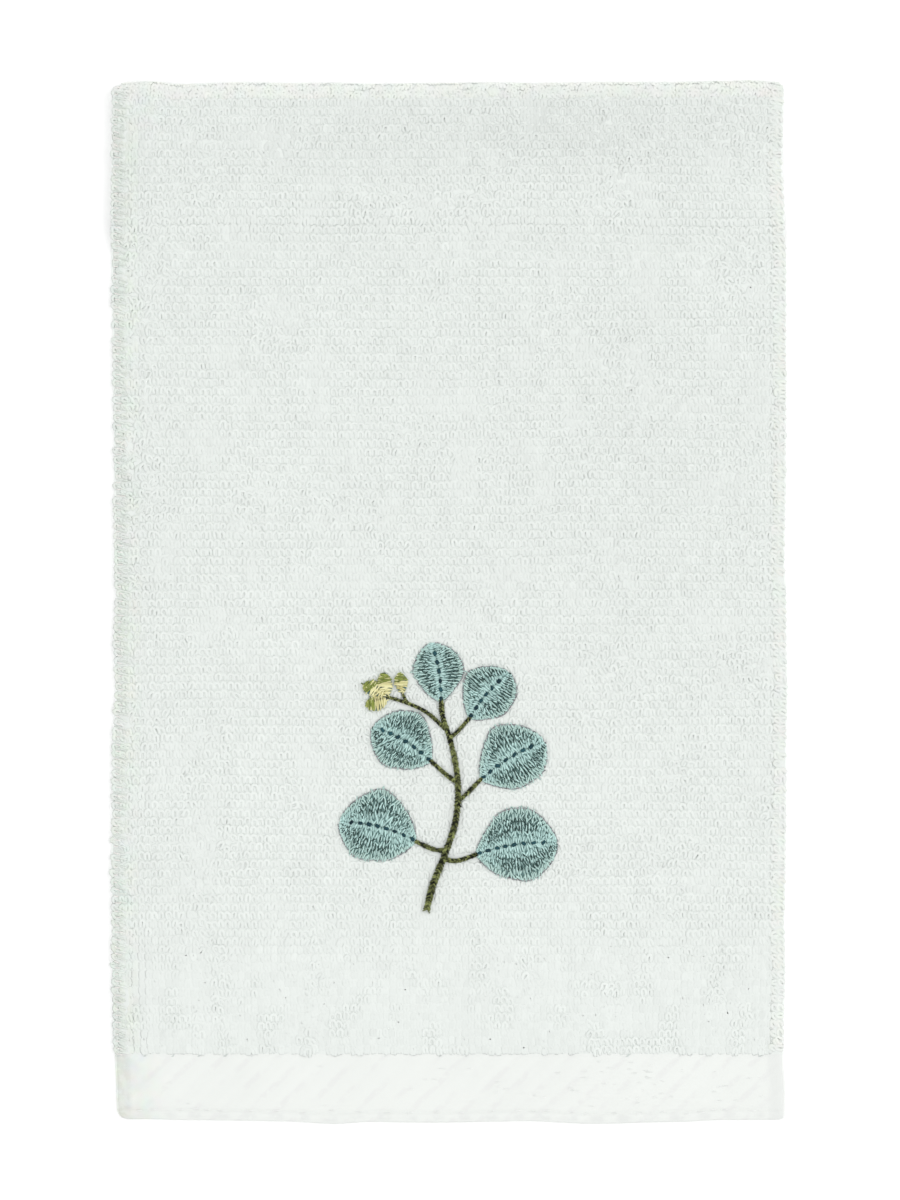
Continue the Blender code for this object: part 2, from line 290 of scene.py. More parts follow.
def end_wobble(x, section):
    """How far the uneven fold and hem move this point along the towel."""
    from_fold = FACE_LENGTH / 2 - section.outer[0]
    at_fold = 1 - ease(from_fold / END_WOBBLE_REACH)
    at_hem = (1 - section.under) * (1 - ease(section.from_end / END_WOBBLE_REACH))
    return at_fold * read_table(END_EDGES, "fold", x) - at_hem * read_table(END_EDGES, "hem", x)


def relief_height(forms, x, y):
    """The height of all these soft forms together at a place of the cloth."""
    total = 0.0
    for form in forms:
        turn = math.radians(form.turn_deg)
        east = x - form.across
        north = y - form.along
        along_form = (east * math.cos(turn) + north * math.sin(turn)) / form.half_across
        over_form = (north * math.cos(turn) - east * math.sin(turn)) / form.half_along
        distance = along_form ** 2 + over_form ** 2
        if distance < RELIEF_REACH ** 2:
            total += form.height * math.exp(-distance)
    return total


def rib_turns(share, from_end):
    """Counts the diagonal ribs across the band. A whole number is the crest of a rib."""
    return share * RIB_COUNT - from_end / RIB_RISE


def rib_height(share, x, from_end):
    """The height of the band's ribs at a place. They fade at the edges and the ends of the band."""
    inside = min(share, 1 - share) * RIB_COUNT
    fade_in = ease((from_end - RIBS_START + RIB_FADE_IN / 2) / RIB_FADE_IN)
    fade_out = 1 - ease((from_end - RIBS_END) / RIB_FADE_OUT)
    wave = 0.5 + 0.5 * math.cos(2 * math.pi * rib_turns(share, from_end))
    strength = read_table(RIB_STRENGTHS, "share", x)
    return RIB_HEIGHT * strength * (fade_in * fade_out) * ease(inside - 0.5) * wave


def hem_share(share):
    """Share of the full thickness, thinner at the side edges and along the seams of the side hems."""
    if share < 0.5:
        return read_table(SIDE_HEMS, "left", share * CLOTH_WIDTH)
    return read_table(SIDE_HEMS, "right", (1 - share) * CLOTH_WIDTH)


def cloth_point(share, along, depth=0.0):
    """The place of a point of the cloth: share across it, distance along it, and depth from its outer side,
    0, to its inner side, 1."""
    section = section_at(along)
    x = across_at(share, section)
    thick = hem_share(share) * (1 - depth)
    y = section.inner[0] + thick * (section.outer[0] - section.inner[0])
    z = section.inner[1] + thick * (section.outer[1] - section.inner[1])
    if section.under < RELIEF_UNDER:
        raised = relief_height(RELIEFS, x, y)
        if along < PILE_START:
            raised += rib_height(share, x, along) + relief_height(PUCKERS, x, y)
        z += raised * (1 - depth) * (1 - section.under / RELIEF_UNDER)
    return Vector((x, y + end_wobble(x, section), z))


OUTLINE_STEPS = 60


def cloth_shift():
    """How far the whole cloth moves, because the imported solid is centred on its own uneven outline."""
    low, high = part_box(CLOTH_NODE)
    fold_tip = FOLD_CENTRE + FOLD_ARC / 2
    steps = range(OUTLINE_STEPS + 1)
    lefts = [cloth_point(0.0, step * FACE_LENGTH / OUTLINE_STEPS).x for step in steps]
    rights = [cloth_point(1.0, step * FACE_LENGTH / OUTLINE_STEPS).x for step in steps]
    hems = [cloth_point(step / OUTLINE_STEPS, 0.0).y for step in steps]
    folds = [cloth_point(step / OUTLINE_STEPS, fold_tip).y + PILE_RISE for step in steps]
    middle = Vector(((min(lefts) + max(rights)) / 2, (min(hems) + max(folds)) / 2, 0.0))
    return Vector(((low.x + high.x) / 2, (low.y + high.y) / 2, 0.0)) - middle


SHIFT = cloth_shift()


def on_cloth(share, along, depth=0.0):
    """The place of a point of the cloth, as cloth_point gives it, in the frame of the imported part."""
    return cloth_point(share, along, depth) + SHIFT


# ---- Making pieces ------------------------------------------------------------------------------------


def add_object(name, data):
    """Links a new object that holds this data to the scene."""
    made = bpy.data.objects.new(name, data)
    bpy.context.scene.collection.objects.link(made)
    return made


def add_piece(name, mesh, material):
    """Links a finished mesh as a piece of the towel."""
    mesh.materials.append(material)
    mesh.shade_smooth()
    piece = add_object(name, mesh)
    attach(piece, BODY)
    return piece


# A closed shape that is copied many times. Its points lie in rings from one pole to the other, and around
# says how far round its ring each corner of a face is, 0 to 1.
Template = namedtuple("Template", "points corners starts rings arounds")


def ball(sides, rings):
    """A ball of radius 1 as a template, its first pole at +Z."""
    mesh = bmesh.new()
    bmesh.ops.create_uvsphere(mesh, u_segments=sides, v_segments=rings, radius=1.0)
    mesh.verts.index_update()
    points = np.array([vert.co for vert in mesh.verts])
    corners, starts, arounds = [], [], []
    for face in mesh.faces:
        starts.append(len(corners))
        middle = face.calc_center_median()
        turn = math.atan2(middle.y, middle.x)
        for vert in face.verts:
            corners.append(vert.index)
            at_pole = math.hypot(vert.co.x, vert.co.y) < 0.01
            own = turn if at_pole else math.atan2(vert.co.y, vert.co.x)
            arounds.append((turn + math.remainder(own - turn, math.tau)) / math.tau)
    mesh.free()
    ring = np.rint(np.arccos(points[:, 2].clip(-1, 1)) * rings / math.pi).astype(int)
    return Template(points, np.array(corners), np.array(starts), ring, np.array(arounds))


def join_copies(name, template, points, values):
    """One mesh of many copies of a template. points has a row of places for each copy, and values gives each
    copy its own number for each attribute that its material reads."""
    count, per_copy = points.shape[:2]
    first = np.arange(count)[:, None]
    corners = (template.corners[None, :] + first * per_copy).ravel()
    starts = (template.starts[None, :] + first * len(template.corners)).ravel()
    mesh = bpy.data.meshes.new(name)
    mesh.vertices.add(count * per_copy)
    mesh.vertices.foreach_set("co", points.astype(np.float32).ravel())
    mesh.loops.add(len(corners))
    mesh.loops.foreach_set("vertex_index", corners.astype(np.int32))
    mesh.polygons.add(len(starts))
    mesh.polygons.foreach_set("loop_start", starts.astype(np.int32))
    mesh.update(calc_edges=True)
    for key, numbers in values.items():
        mesh.attributes.new(key, "FLOAT", "POINT").data.foreach_set("value", np.repeat(numbers, per_copy))
    return mesh


# A strand is one stitch or loop of thread: the points that it runs through, its radius, the way out of the
# cloth there, how light its thread is (with painted light and shade added in places), how far its colour is
# from the rest, and its height as a share of its width, below 1 where it is pressed flat
Strand = namedtuple("Strand", "points radius out tone tint flat", defaults=((0.0, 0.0, 1.0), 0.0, 0.0, 1.0))
STRAND_SIDES = 4

# The section of a loop that is pressed into the pile, in shares of its radius: half its width at the top and
# at the base, and the depth of the base
LOAF_TOP = 0.60
LOAF_BASE = 1.35
LOAF_DEPTH = 0.80


def round_section(turn):
    """Across and up of a round thread's section, at this turn round it."""
    return np.cos(turn), np.sin(turn)


def loaf_section(turn):
    """Across and up of a loop pressed into the pile: four corners, a level top and sides that slope out."""
    turn = turn + math.pi / 4
    on_top = np.sin(turn) > 0
    across = np.sign(np.cos(turn)) * np.where(on_top, LOAF_TOP, LOAF_BASE)
    return across, np.where(on_top, 1.0, -LOAF_DEPTH)


def bend_tubes(template, paths, radii, flats, outs, swell, section):
    """The points of a tube of this section along each path, closed at both ends."""
    along = np.gradient(paths, axis=1)
    along /= np.linalg.norm(along, axis=2, keepdims=True)
    side = np.cross(along, outs[:, None, :])
    side /= np.linalg.norm(side, axis=2, keepdims=True)
    over = np.cross(side, along) * flats[:, None, None]
    rings = template.rings
    across, up = section(np.arctan2(template.points[:, 1], template.points[:, 0]))
    reach = np.array(swell)[rings][None, :, None] * radii[:, None, None]
    offsets = across[None, :, None] * side[:, rings] + up[None, :, None] * over[:, rings]
    return paths[:, rings] + reach * offsets


def strand_mesh(name, strands, swell, section=round_section):
    """One mesh of all the strands, with their thread's own UV map: round it, and along it in metres."""
    template = ball(sides=STRAND_SIDES, rings=len(swell) - 1)
    paths = np.array([strand.points for strand in strands], dtype=float)
    radii = np.array([strand.radius for strand in strands])
    flats = np.array([strand.flat for strand in strands])
    outs = np.array([strand.out for strand in strands], dtype=float)
    values = {key: np.array([getattr(strand, key) for strand in strands]) for key in ("tone", "tint")}
    points = bend_tubes(template, paths, radii, flats, outs, swell, section)
    mesh = join_copies(name, template, points, values)
    gaps = np.linalg.norm(np.diff(paths, axis=1), axis=2)
    travelled = np.concatenate((np.zeros((len(paths), 1)), np.cumsum(gaps, axis=1)), axis=1)
    places = np.empty((len(paths), len(template.corners), 2), dtype=np.float32)
    places[:, :, 0] = template.arounds[None, :]
    places[:, :, 1] = travelled[:, template.rings[template.corners]]
    mesh.uv_layers.new(name="thread").data.foreach_set("uv", places.ravel())
    return mesh


def add_threads(name, groups, swell):
    """Makes one piece of these groups of strands, in the thread of the same name."""
    strands = [strand for group in groups for strand in group]
    return add_piece(name, strand_mesh(name, strands, swell), thread_material(name))


# Shares of a stitch's length at which it has a point, and its thickness there: flat ones and arched ones
STITCH_SHARES = (0.0, 0.05, 0.30, 0.65, 0.95, 1.0)
STITCH_SWELL = (0.0, 0.80, 1.0, 1.0, 0.80, 0.0)
ARCH_SHARES = (0.0, 0.04, 0.20, 0.40, 0.60, 0.80, 0.96, 1.0)
ARCH_SWELL = (0.0, 0.85, 1.0, 1.0, 1.0, 1.0, 0.85, 0.0)


# ---- The cloth ----------------------------------------------------------------------------------------


# The lines of the cloth's mesh, across it from its left edge and along it from the hem that shows: where each
# stretch of them ends, and how far apart they are. They lie close in the hems, the band and the fold.
Stretch = namedtuple("Stretch", "end step")
FINE_LINES_END = 0.0430
LINES_ACROSS = (
    Stretch(SIDE_HEM_WIDTH, 0.0011),
    Stretch(CLOTH_WIDTH - SIDE_HEM_WIDTH, 0.0024),
    Stretch(CLOTH_WIDTH, 0.0011),
)
LINES_ALONG = (
    Stretch(0.0010, 0.0005),
    Stretch(HEM_WIDTH, 0.0008),
    Stretch(FINE_LINES_END, 0.0009),
    Stretch(0.5150, 0.0052),
    Stretch(0.5520, 0.0022),
    Stretch(0.6060, 0.0052),
    Stretch(FOLD_CENTRE, 0.0026),
    Stretch(FOLD_CENTRE + FOLD_ARC, FOLD_ARC / 12),
    Stretch(CLOTH_LENGTH - FINE_LINES_END, 0.0065),
    Stretch(CLOTH_LENGTH - HEM_WIDTH, 0.0050),
    Stretch(CLOTH_LENGTH, 0.0010),
)


def spread(stretches):
    """Places from 0 on, evenly spaced in each stretch."""
    places = [0.0]
    start = 0.0
    for end, step in stretches:
        steps = max(1, round((end - start) / step))
        places += [start + (end - start) * index / steps for index in range(1, steps + 1)]
        start = end
    return places


def edge_rounding(share, along, depth):
    """Draws the outer and inner sides in from the cloth's edges, so that the edges are round."""
    inset = EDGE_ROUND * (1 - math.sqrt(max(0.0, 1 - (2 * depth - 1) ** 2)))
    x = {0.0: inset, 1.0: -inset}.get(share, 0.0)
    y = {0.0: inset, CLOTH_LENGTH: inset}.get(along, 0.0)
    return Vector((x, y, 0.0))


def make_cloth(material):
    """The whole cloth as one thin closed sheet: a flat grid that gets a wall and is then laid in folds."""
    shares = [place / CLOTH_WIDTH for place in spread(LINES_ACROSS)]
    alongs = spread(LINES_ALONG)
    wall = 0.1
    mesh = bmesh.new()
    bmesh.ops.create_grid(mesh, x_segments=len(shares) - 1, y_segments=len(alongs) - 1, size=0.5)
    bmesh.ops.solidify(mesh, geom=mesh.faces[:], thickness=wall)
    lows = min(vert.co.z for vert in mesh.verts)
    rim = [edge for edge in mesh.edges if abs(edge.verts[0].co.z - edge.verts[1].co.z) > wall / 2]
    bmesh.ops.subdivide_edges(mesh, edges=rim, cuts=3, use_grid_fill=True)
    uv_map = mesh.loops.layers.uv.new("cloth")
    places = {}
    for vert in mesh.verts:
        column = round((vert.co.x + 0.5) * (len(shares) - 1))
        row = round((vert.co.y + 0.5) * (len(alongs) - 1))
        depth = -(vert.co.z - lows - wall) / wall
        places[vert] = (shares[column], alongs[row], min(max(depth, 0.0), 1.0))
    for face in mesh.faces:
        for loop in face.loops:
            share, along = places[loop.vert][:2]
            loop[uv_map].uv = (share, along / CLOTH_LENGTH)
    for vert, (share, along, depth) in places.items():
        vert.co = on_cloth(share, along, depth) + edge_rounding(share, along, depth)
    bmesh.ops.recalc_face_normals(mesh, faces=mesh.faces)
    data = bpy.data.meshes.new("cloth")
    mesh.to_mesh(data)
    mesh.free()
    return add_piece("cloth", data, material)


# ---- The looped pile ----------------------------------------------------------------------------------

# The line of one loop as it leans up the cloth, from foot to foot, in shares of its half width, half length
# and height, and how thick its thread is at each point
LoopPoint = namedtuple("LoopPoint", "across along rise")
LOOP_HALF = (
    LoopPoint(-0.66, -1.15, -0.60),
    LoopPoint(-0.80, -0.82, 0.55),
    LoopPoint(-1.04, -0.06, 1.00),
    LoopPoint(-0.80, 0.66, 0.95),
)
LOOP_TOP = (LoopPoint(0.0, 0.98, 0.55),)
LOOP_OTHER_HALF = tuple(point._replace(across=-point.across) for point in reversed(LOOP_HALF))
LOOP_LINE = LOOP_HALF + LOOP_TOP + LOOP_OTHER_HALF
LOOP_SWELL = (0.0, 0.85, 1.0, 1.05, 1.20, 1.05, 1.0, 0.85, 0.0)

# A stretch of pile: where it starts and ends, its pitches, its loops' half sizes, radius, flatness and
# height, how loose they lie, and their tint. The face has open loops, and a strip along the fold closer ones.
PileZone = namedtuple(
    "PileZone", "start end column_pitch row_pitch half_across half_along radius flat rise loose tint")
FOLD_STRIP = FOLD_CENTRE - 0.0062
FOLD_PILE_END = FOLD_CENTRE + 0.45 * FOLD_ARC
FACE_PILE = PileZone(
    start=PILE_START, end=FOLD_STRIP, column_pitch=0.0040, row_pitch=0.0051, half_across=0.00150,
    half_along=0.00225, radius=0.00090, flat=0.38, rise=0.00016, loose=0.00026, tint=0.0)
FOLD_PILE = PileZone(
    start=FOLD_STRIP, end=FOLD_PILE_END, column_pitch=0.0033, row_pitch=0.0024, half_across=0.00115,
    half_along=0.00145, radius=0.00086, flat=0.27, rise=0.00010, loose=0.00032, tint=1.0)

# The loops of a side hem: how wide it is, how much further its loops turn and how much that varies, in
# radians, their size, and how many of its widths its tint reaches
HemLoops = namedtuple("HemLoops", "width turn turn_vary size tint_reach")
LEFT_HEM = HemLoops(width=0.0095, turn=0.45, turn_vary=0.35, size=0.78, tint_reach=2.1)
RIGHT_HEM = HemLoops(width=0.0085, turn=0.80, turn_vary=0.35, size=0.92, tint_reach=1.3)

# No loop is rooted in this much of either rim, and none is laid this near the right one
RIM_BARE = 0.0012
RIM_CLEAR = 0.0027

# The pile's lower edge: the height of its arch over each rib of the band, how uneven it is, and how many
# waves of unevenness the width has
EDGE_ARCH = 0.0011
EDGE_UNEVEN = 0.0003
EDGE_WAVES = 60

# How loops differ from each other: their half sizes, height and thread, as shares of their own, how far the
# points of their line wander and their tops lean, and their brightness
VARY_ACROSS = 0.09
VARY_ALONG = 0.08
VARY_RISE = 0.30
VARY_RADIUS = 0.07
WANDER = 0.00010
LEAN = 0.00030
VARY_TONE = 0.014

# How far the loops turn from straight, and by how many degrees that varies
LOOP_TURN = math.radians(3)
VARY_TURN = 6

# In a tangle the loops wander further, turn by more degrees and lie looser. All lie looser along the cloth
# than across it.
TANGLE_WANDER = 0.00018
TANGLE_TURN = 12
TANGLE_LOOSEN = 1.8
ALONG_LOOSER = 1.2

# Where the pile goes from soft ridges to open loops, and how much narrower, longer, wider in their thread,
# deeper, flatter, better in line and darker the loops of a soft ridge are
SOFT_ZONE = (0.080, 0.150)
SOFT_SHUT = 0.40
SOFT_LENGTHEN = 0.10
SOFT_WIDEN = 0.22
SOFT_SINK = 0.00005
SOFT_FLATTEN = 0.74
SOFT_ALIGN = 0.10
SOFT_DIM = 0.028

# How soft the loops are in patches away from the band, and how sharp those patches' edges are
PATCH_SOFTNESS = 0.65
PATCH_EDGE = 0.30

# Smooth patches over the cloth: how many lie across and along a metre of it, a number that sets each kind
# apart from the others, and the level that they swing about and how far
Cloud = namedtuple("Cloud", "across along kind level swing")
CLEAR_ROWS = Cloud(28, 28, 5.0, 0.75, 1.2)
SOFT_PATCHES = Cloud(45, 38, 2.0, -0.10, 1.0)
SOFT_BY_BAND = Cloud(70, 55, 7.0, 0.90, 1.8)
COLUMN_SWAY = Cloud(22, 22, 0.0, 0.0, 0.0006)
ROW_SWAY = Cloud(9, 16, 9.0, 0.0, 0.0016)

# How many of the first rows of a stretch sway less, and how many follow the arches of the pile's edge
STRAIGHT_ROWS = 4
ARCHED_ROWS = 2

# Painted light and shade in the pile's brightness, by place: painted shade in the hollows below the fold and
# along the left edge, painted light along the fold's rim and over the lower face, and soft patches of both
# elsewhere. Each has its middle, half sizes, turn and share of brightness
PAINTED_SHADING = (
    Relief(0.085, 0.285, 0.110, 0.024, 0, -0.066),
    Relief(-0.080, 0.278, 0.110, 0.026, 2, -0.030),
    Relief(-0.110, 0.000, 0.080, 0.220, 0, 0.012),
    Relief(0.120, 0.110, 0.070, 0.200, 0, -0.014),
    Relief(0.000, -0.120, 0.260, 0.110, 0, 0.018),
    Relief(-0.010, -0.245, 0.260, 0.070, 0, 0.024),
    Relief(-0.205, 0.050, 0.012, 0.300, 0, -0.014),
    Relief(-0.193, 0.270, 0.014, 0.050, 0, -0.026),
    Relief(0.000, 0.3145, 0.260, 0.0041, 0, 0.095),
)


def pile_edge(share):
    """The pile's uneven lower edge: a shallow arch over each rib of the band, with a nick between them."""
    turns = rib_turns(share, PILE_START)
    uneven = noise.noise((share * EDGE_WAVES, 3.1, 0.0))
    return EDGE_ARCH * abs(math.cos(math.pi * turns)) + EDGE_UNEVEN * uneven


def cloudy(cloud, across, along):
    """The value of some smooth patches at a place of the cloth."""
    patch = noise.noise((across * cloud.across, along * cloud.along, cloud.kind))
    return cloud.level + cloud.swing * patch


def softness(across, along):
    """From 0 where the loops stand open to 1 where they are pressed shut into soft ridges up the cloth, as
    they are near the band and in patches elsewhere."""
    low, high = SOFT_ZONE
    near_band = 1 - ease((along - low) / (high - low))
    in_patch = ease(cloudy(SOFT_PATCHES, across, along) / PATCH_EDGE)
    return max(near_band * ease(cloudy(SOFT_BY_BAND, across, along)), PATCH_SOFTNESS * in_patch)


def loop_shape(zone, order, soft, draw):
    """The line of one loop, as across, along and height from its middle, none like the next."""
    line = np.array(LOOP_LINE)
    half_across = zone.half_across * (1 + VARY_ACROSS * draw.normal()) * (1 - SOFT_SHUT * soft)
    half_along = zone.half_along * (1 + VARY_ALONG * draw.normal() + SOFT_LENGTHEN * soft)
    rise = zone.rise * (1 + VARY_RISE * draw.normal()) * (1 - SOFT_FLATTEN * soft)
    line = line * (half_across, half_along, rise) - (0.0, 0.0, SOFT_SINK * soft)
    line[:, :2] += (WANDER + TANGLE_WANDER * (1 - order)) * draw.normal(size=(len(line), 2))
    line[:, 0] += LEAN * draw.normal() * (line[:, 1] / half_along + 1) / 2
    return line


def hem_turn(share, draw):
    """How much further a loop turns in the side hems, and how much smaller it is there."""
    across = share * CLOTH_WIDTH
    for hem, from_side in ((LEFT_HEM, across), (RIGHT_HEM, CLOTH_WIDTH - across)):
        if from_side < hem.width:
            return hem.turn + hem.turn_vary * draw.normal(), hem.size
    return 0.0, 1.0


def hem_tint(share):
    """-1 in the greener left hem, 1 in the warmer right one, which is painted lighter too."""
    across = share * CLOTH_WIDTH
    if share < 0.5:
        return -ease(LEFT_HEM.tint_reach - across / LEFT_HEM.width)
    return ease(RIGHT_HEM.tint_reach - (CLOTH_WIDTH - across) / RIGHT_HEM.width)


def fold_drop(along, reach):
    """How far the fold falls away under a straight loop, at a reach up the cloth from the loop's middle."""
    past = max(0.0, along - FOLD_CENTRE)
    end_past = np.maximum(0.0, along + reach - FOLD_CENTRE)
    return (end_past ** 2 - past ** 2 - 2 * past * reach) / (2 * FOLD_RADIUS)


# A place on the cloth, the directions across and up the cloth there, and the way out of it
Spot = namedtuple("Spot", "place across up out")
SPOT_STEP = 0.0008


def cloth_spot(share, along):
    """The place and the directions at a point of the cloth."""
    place = on_cloth(share, along)
    up_cloth = (on_cloth(share, along + SPOT_STEP) - place).normalized()
    across_cloth = Vector((1.0, 0.0, 0.0))
    return Spot(place, across_cloth, up_cloth, across_cloth.cross(up_cloth).normalized())


def lay_line(line, spot, along, turn, size):
    """The line of a loop, turned and sized and laid on its spot of the cloth, or round the fold."""
    side = spot.across * math.cos(turn) + spot.up * math.sin(turn)
    length = spot.up * math.cos(turn) - spot.across * math.sin(turn)
    line = line @ (np.array((side, length, spot.out)) * ((size,), (size,), (1.0,)))
    line -= np.outer(fold_drop(along, line @ np.array(spot.up)), spot.out)
    return line + np.array(spot.place)


def loop_strand(zone, row, across, along, draw):
    """The loop that belongs at this place of a stretch of pile, or None where none stands."""
    order = ease(cloudy(CLEAR_ROWS, across, along))
    soft = softness(across, along) * (1 - max(zone.tint, hem_tint(across / CLOTH_WIDTH)))
    across += cloudy(COLUMN_SWAY, across, along)
    along += cloudy(ROW_SWAY, across, along) * min(1.0, row / STRAIGHT_ROWS)
    in_line = 1 - SOFT_ALIGN * soft
    loose = zone.loose * (1.0 + TANGLE_LOOSEN * (1 - order)) * in_line
    across += loose * draw.normal()
    along += ALONG_LOOSER * loose * draw.normal()
    line = loop_shape(zone, order, soft, draw)
    turn = LOOP_TURN + math.radians(VARY_TURN + TANGLE_TURN * (1 - order)) * draw.normal() * in_line
    tone = VARY_TONE * draw.normal()
    share = across / CLOTH_WIDTH
    if not RIM_BARE < across < CLOTH_WIDTH - RIM_BARE or under_sprig(share, along):
        return None
    share = min(share, 1 - RIM_CLEAR / CLOTH_WIDTH)
    if zone.start == PILE_START:
        along += pile_edge(share) * max(0.0, 1 - row / ARCHED_ROWS)
    extra_turn, size = hem_turn(share, draw)
    spot = cloth_spot(share, along)
    points = lay_line(line, spot, along, turn + extra_turn, size)
    radius = zone.radius * (1 + VARY_RADIUS * draw.normal()) * (1 + SOFT_WIDEN * soft)
    flat = zone.flat * (1 - SOFT_FLATTEN * soft)
    tint = zone.tint or hem_tint(share)
    # The loop's tone takes the painted light and shade of its place; soft ridges are a little darker.
    tone += relief_height(PAINTED_SHADING, spot.place.x, spot.place.y) - SOFT_DIM * soft
    return Strand(points, radius, tuple(spot.out), tone, tint, flat)


def zone_strands(zone, draw):
    """The loops of one stretch of pile, in rows and columns."""
    columns = round(CLOTH_WIDTH / zone.column_pitch)
    rows = round((zone.end - zone.start) / zone.row_pitch)
    found = []
    for row in range(rows):
        for column in range(columns):
            across = (column + 0.5) * CLOTH_WIDTH / columns
            along = zone.start + (row + 0.5) * (zone.end - zone.start) / rows
            found.append(loop_strand(zone, row, across, along, draw))
    return [strand for strand in found if strand]


PILE_SEED = 11


def make_pile(material):
    """The loops, in bands up the towel, each one piece. None stand under the embroidery."""
    draw = np.random.default_rng(PILE_SEED)
    strands = zone_strands(FACE_PILE, draw) + zone_strands(FOLD_PILE, draw)
    names = ("pile_lower", "pile_middle", "pile_upper", "pile_top")
    limits = np.linspace(-FACE_LENGTH / 2, FACE_LENGTH / 2, len(names) + 1)
    limits[-1] = FACE_LENGTH
    top = len(LOOP_HALF)
    places = np.array([strand.points[top][1] for strand in strands])
    made = []
    for name, low, high in zip(names, limits, limits[1:]):
        chosen = [strand for strand, place in zip(strands, places) if low <= place < high]
        mesh = strand_mesh(name, chosen, LOOP_SWELL, section=loaf_section)
        made.append(add_piece(name, mesh, material))
    return made


# ---- The embroidered sprig ----------------------------------------------------------------------------

# The middle of the sprig on the face. Its tables and pitches are in millimetres, its places from there.
SPRIG_MIDDLE = (0.0009, -0.1070)
THREAD_PITCH = 0.74
THREAD_RADIUS = 0.44 * MM
STITCH_LENGTH = 4.2
FLECK_PITCH = 1.48
FLECK_RADIUS = 0.34 * MM
STEM_PITCH = 0.85
STEM_THREAD_RADIUS = 0.42 * MM
CORE_SHARE = 0.62
SATIN_BASE = 0.5 * MM
SATIN_RISE = 1.25 * MM
KNOT_PITCH = 5.6
KNOT_RADIUS = 1.05 * MM
BLADE_WAVE = 0.03
SPRIG_SEED = 5

# How far the sprig reaches from its middle, and how far round its blades and stems no loop is rooted
SPRIG_REACH = (80, 90)
BLADE_MARGIN = 0.6
STEM_MARGIN = 0.7

# Each leaf: foot of the blade, direction that it points in, size, bend of its midrib to its left
Leaf = namedtuple("Leaf", "foot turn_deg length width bend")
LEAVES = (
    Leaf((15, -45), 8, 50, 46, 2.4),
    Leaf((-21, -37), 166, 48, 45, -3.0),
    Leaf((18, 0), 31, 45, 41, 2.4),
    Leaf((-12, 11), 149, 41, 38, -2.4),
    Leaf((11, 37), 49, 37, 34, 1.8),
    Leaf((-6, 47), 99, 36, 31, -1.6),
)

# Each stem: the points that it is drawn through, and its width at the first and the last
Stem = namedtuple("Stem", "points start end")
STEMS = (
    Stem(((-15, -80), (-11, -64), (-4, -46), (3, -24), (4, 0), (0, 22), (-5, 38), (-6, 49)), 4.4, 2.8),
    Stem(((-4, -48), (4, -49), (16, -45)), 3.0, 2.4),
    Stem(((-3, -43), (-11, -42), (-22, -37)), 3.0, 2.4),
    Stem(((3.5, -14), (9, -9), (19, 1)), 2.8, 2.2),
    Stem(((4, -2), (-3, 3), (-13, 12)), 2.8, 2.2),
    Stem(((-1, 25), (4, 29), (12, 38)), 2.6, 2.0),
    Stem(((-2, 29), (-14, 40), (-26, 46), (-39, 50)), 2.4, 1.8),
    Stem(((-25, 45.5), (-27.5, 48), (-29.5, 53)), 1.8, 1.6),
)

# Each bud: foot, direction that it points in and size. Its far end is the cap.
Bud = namedtuple("Bud", "foot turn_deg length width bend")
BUDS = (
    Bud((-37.5, 50.5), 106, 14.5, 9.4, 0.4),
    Bud((-39.5, 50.5), 152, 15.5, 9.8, -0.3),
    Bud((-38, 48), 194, 14.0, 9.4, 0.3),
    Bud((-29.2, 51.8), 98, 13.0, 8.4, 0.0),
)
BUD_CAP = 0.60
BUD_FLECKS = 4


def sprig_place(x, y, rise):
    """A point of the sprig, in millimetres from its middle, at a height above the ground cloth."""
    east = SPRIG_MIDDLE[0] + x * MM
    north = SPRIG_MIDDLE[1] + y * MM
    share = min(max((east - SHIFT.x) / CLOTH_WIDTH + 0.5, 0.0), 1.0)
    ground = on_cloth(share, north - SHIFT.y + FACE_LENGTH / 2).z
    return (east, north, ground + rise)


def blade_half_width(share):
    """Half the width of a leaf or bud, from its foot, 0, to its tip, 1, as a share of its greatest."""
    return math.sin(math.pi * min(max(share, 0.0), 1.0) ** 1.15) ** 0.60


def blade_point(blade, share, side):
    """The place on a blade at this share of its length, and of its half width from its midrib, -1 to 1. Its
    margins are a little wavy, each in its own way."""
    turn = math.radians(blade.turn_deg)
    along = share * blade.length
    wave = 1 + BLADE_WAVE * math.sin(13 * share + 2.1 * math.copysign(1.0, side) + blade.turn_deg)
    off = blade.bend * math.sin(math.pi * share) + side * wave * blade.width / 2 * blade_half_width(share)
    x = blade.foot[0] + along * math.cos(turn) - off * math.sin(turn)
    y = blade.foot[1] + along * math.sin(turn) + off * math.cos(turn)
    return x, y


def fan_point(blade, share, side, out):
    """On a thread that fans from the midrib to the margin: out is 0 on the midrib and 1 at the margin."""
    far = share - 0.09 * math.sin(2 * math.pi * share)
    start = blade_point(blade, share, 0.0)
    end = blade_point(blade, far, side)
    return start[0] + out * (end[0] - start[0]), start[1] + out * (end[1] - start[1])


def satin_height(share, out):
    """The padded height of a leaf's half: lower along the midrib, full in the middle, down at the margin."""
    plump = 0.45 + 0.55 * blade_half_width(share)
    crown = (0.62 + 0.38 * ease(out / 0.35)) * math.sqrt(max(0.0, 1 - out ** 3.0))
    return SATIN_BASE + SATIN_RISE * plump * crown


def stitch_ends(leaf, share, draw):
    """Where one line of satin dips through the cloth, so that it is several stitches and not one."""
    half = leaf.width / 2 * blade_half_width(share)
    count = max(2, round(half / STITCH_LENGTH))
    inner = [(place + 0.22 * draw.normal()) / count for place in range(1, count)]
    return [0.0, *inner, 1 + 0.03 * draw.normal()]


# The dark patch in one half of a leaf: its ends as shares of the leaf's length, and its strength. It fades in
# and out over this share of the length.
Patch = namedtuple("Patch", "start end strength")
PATCH_FADE = 0.20


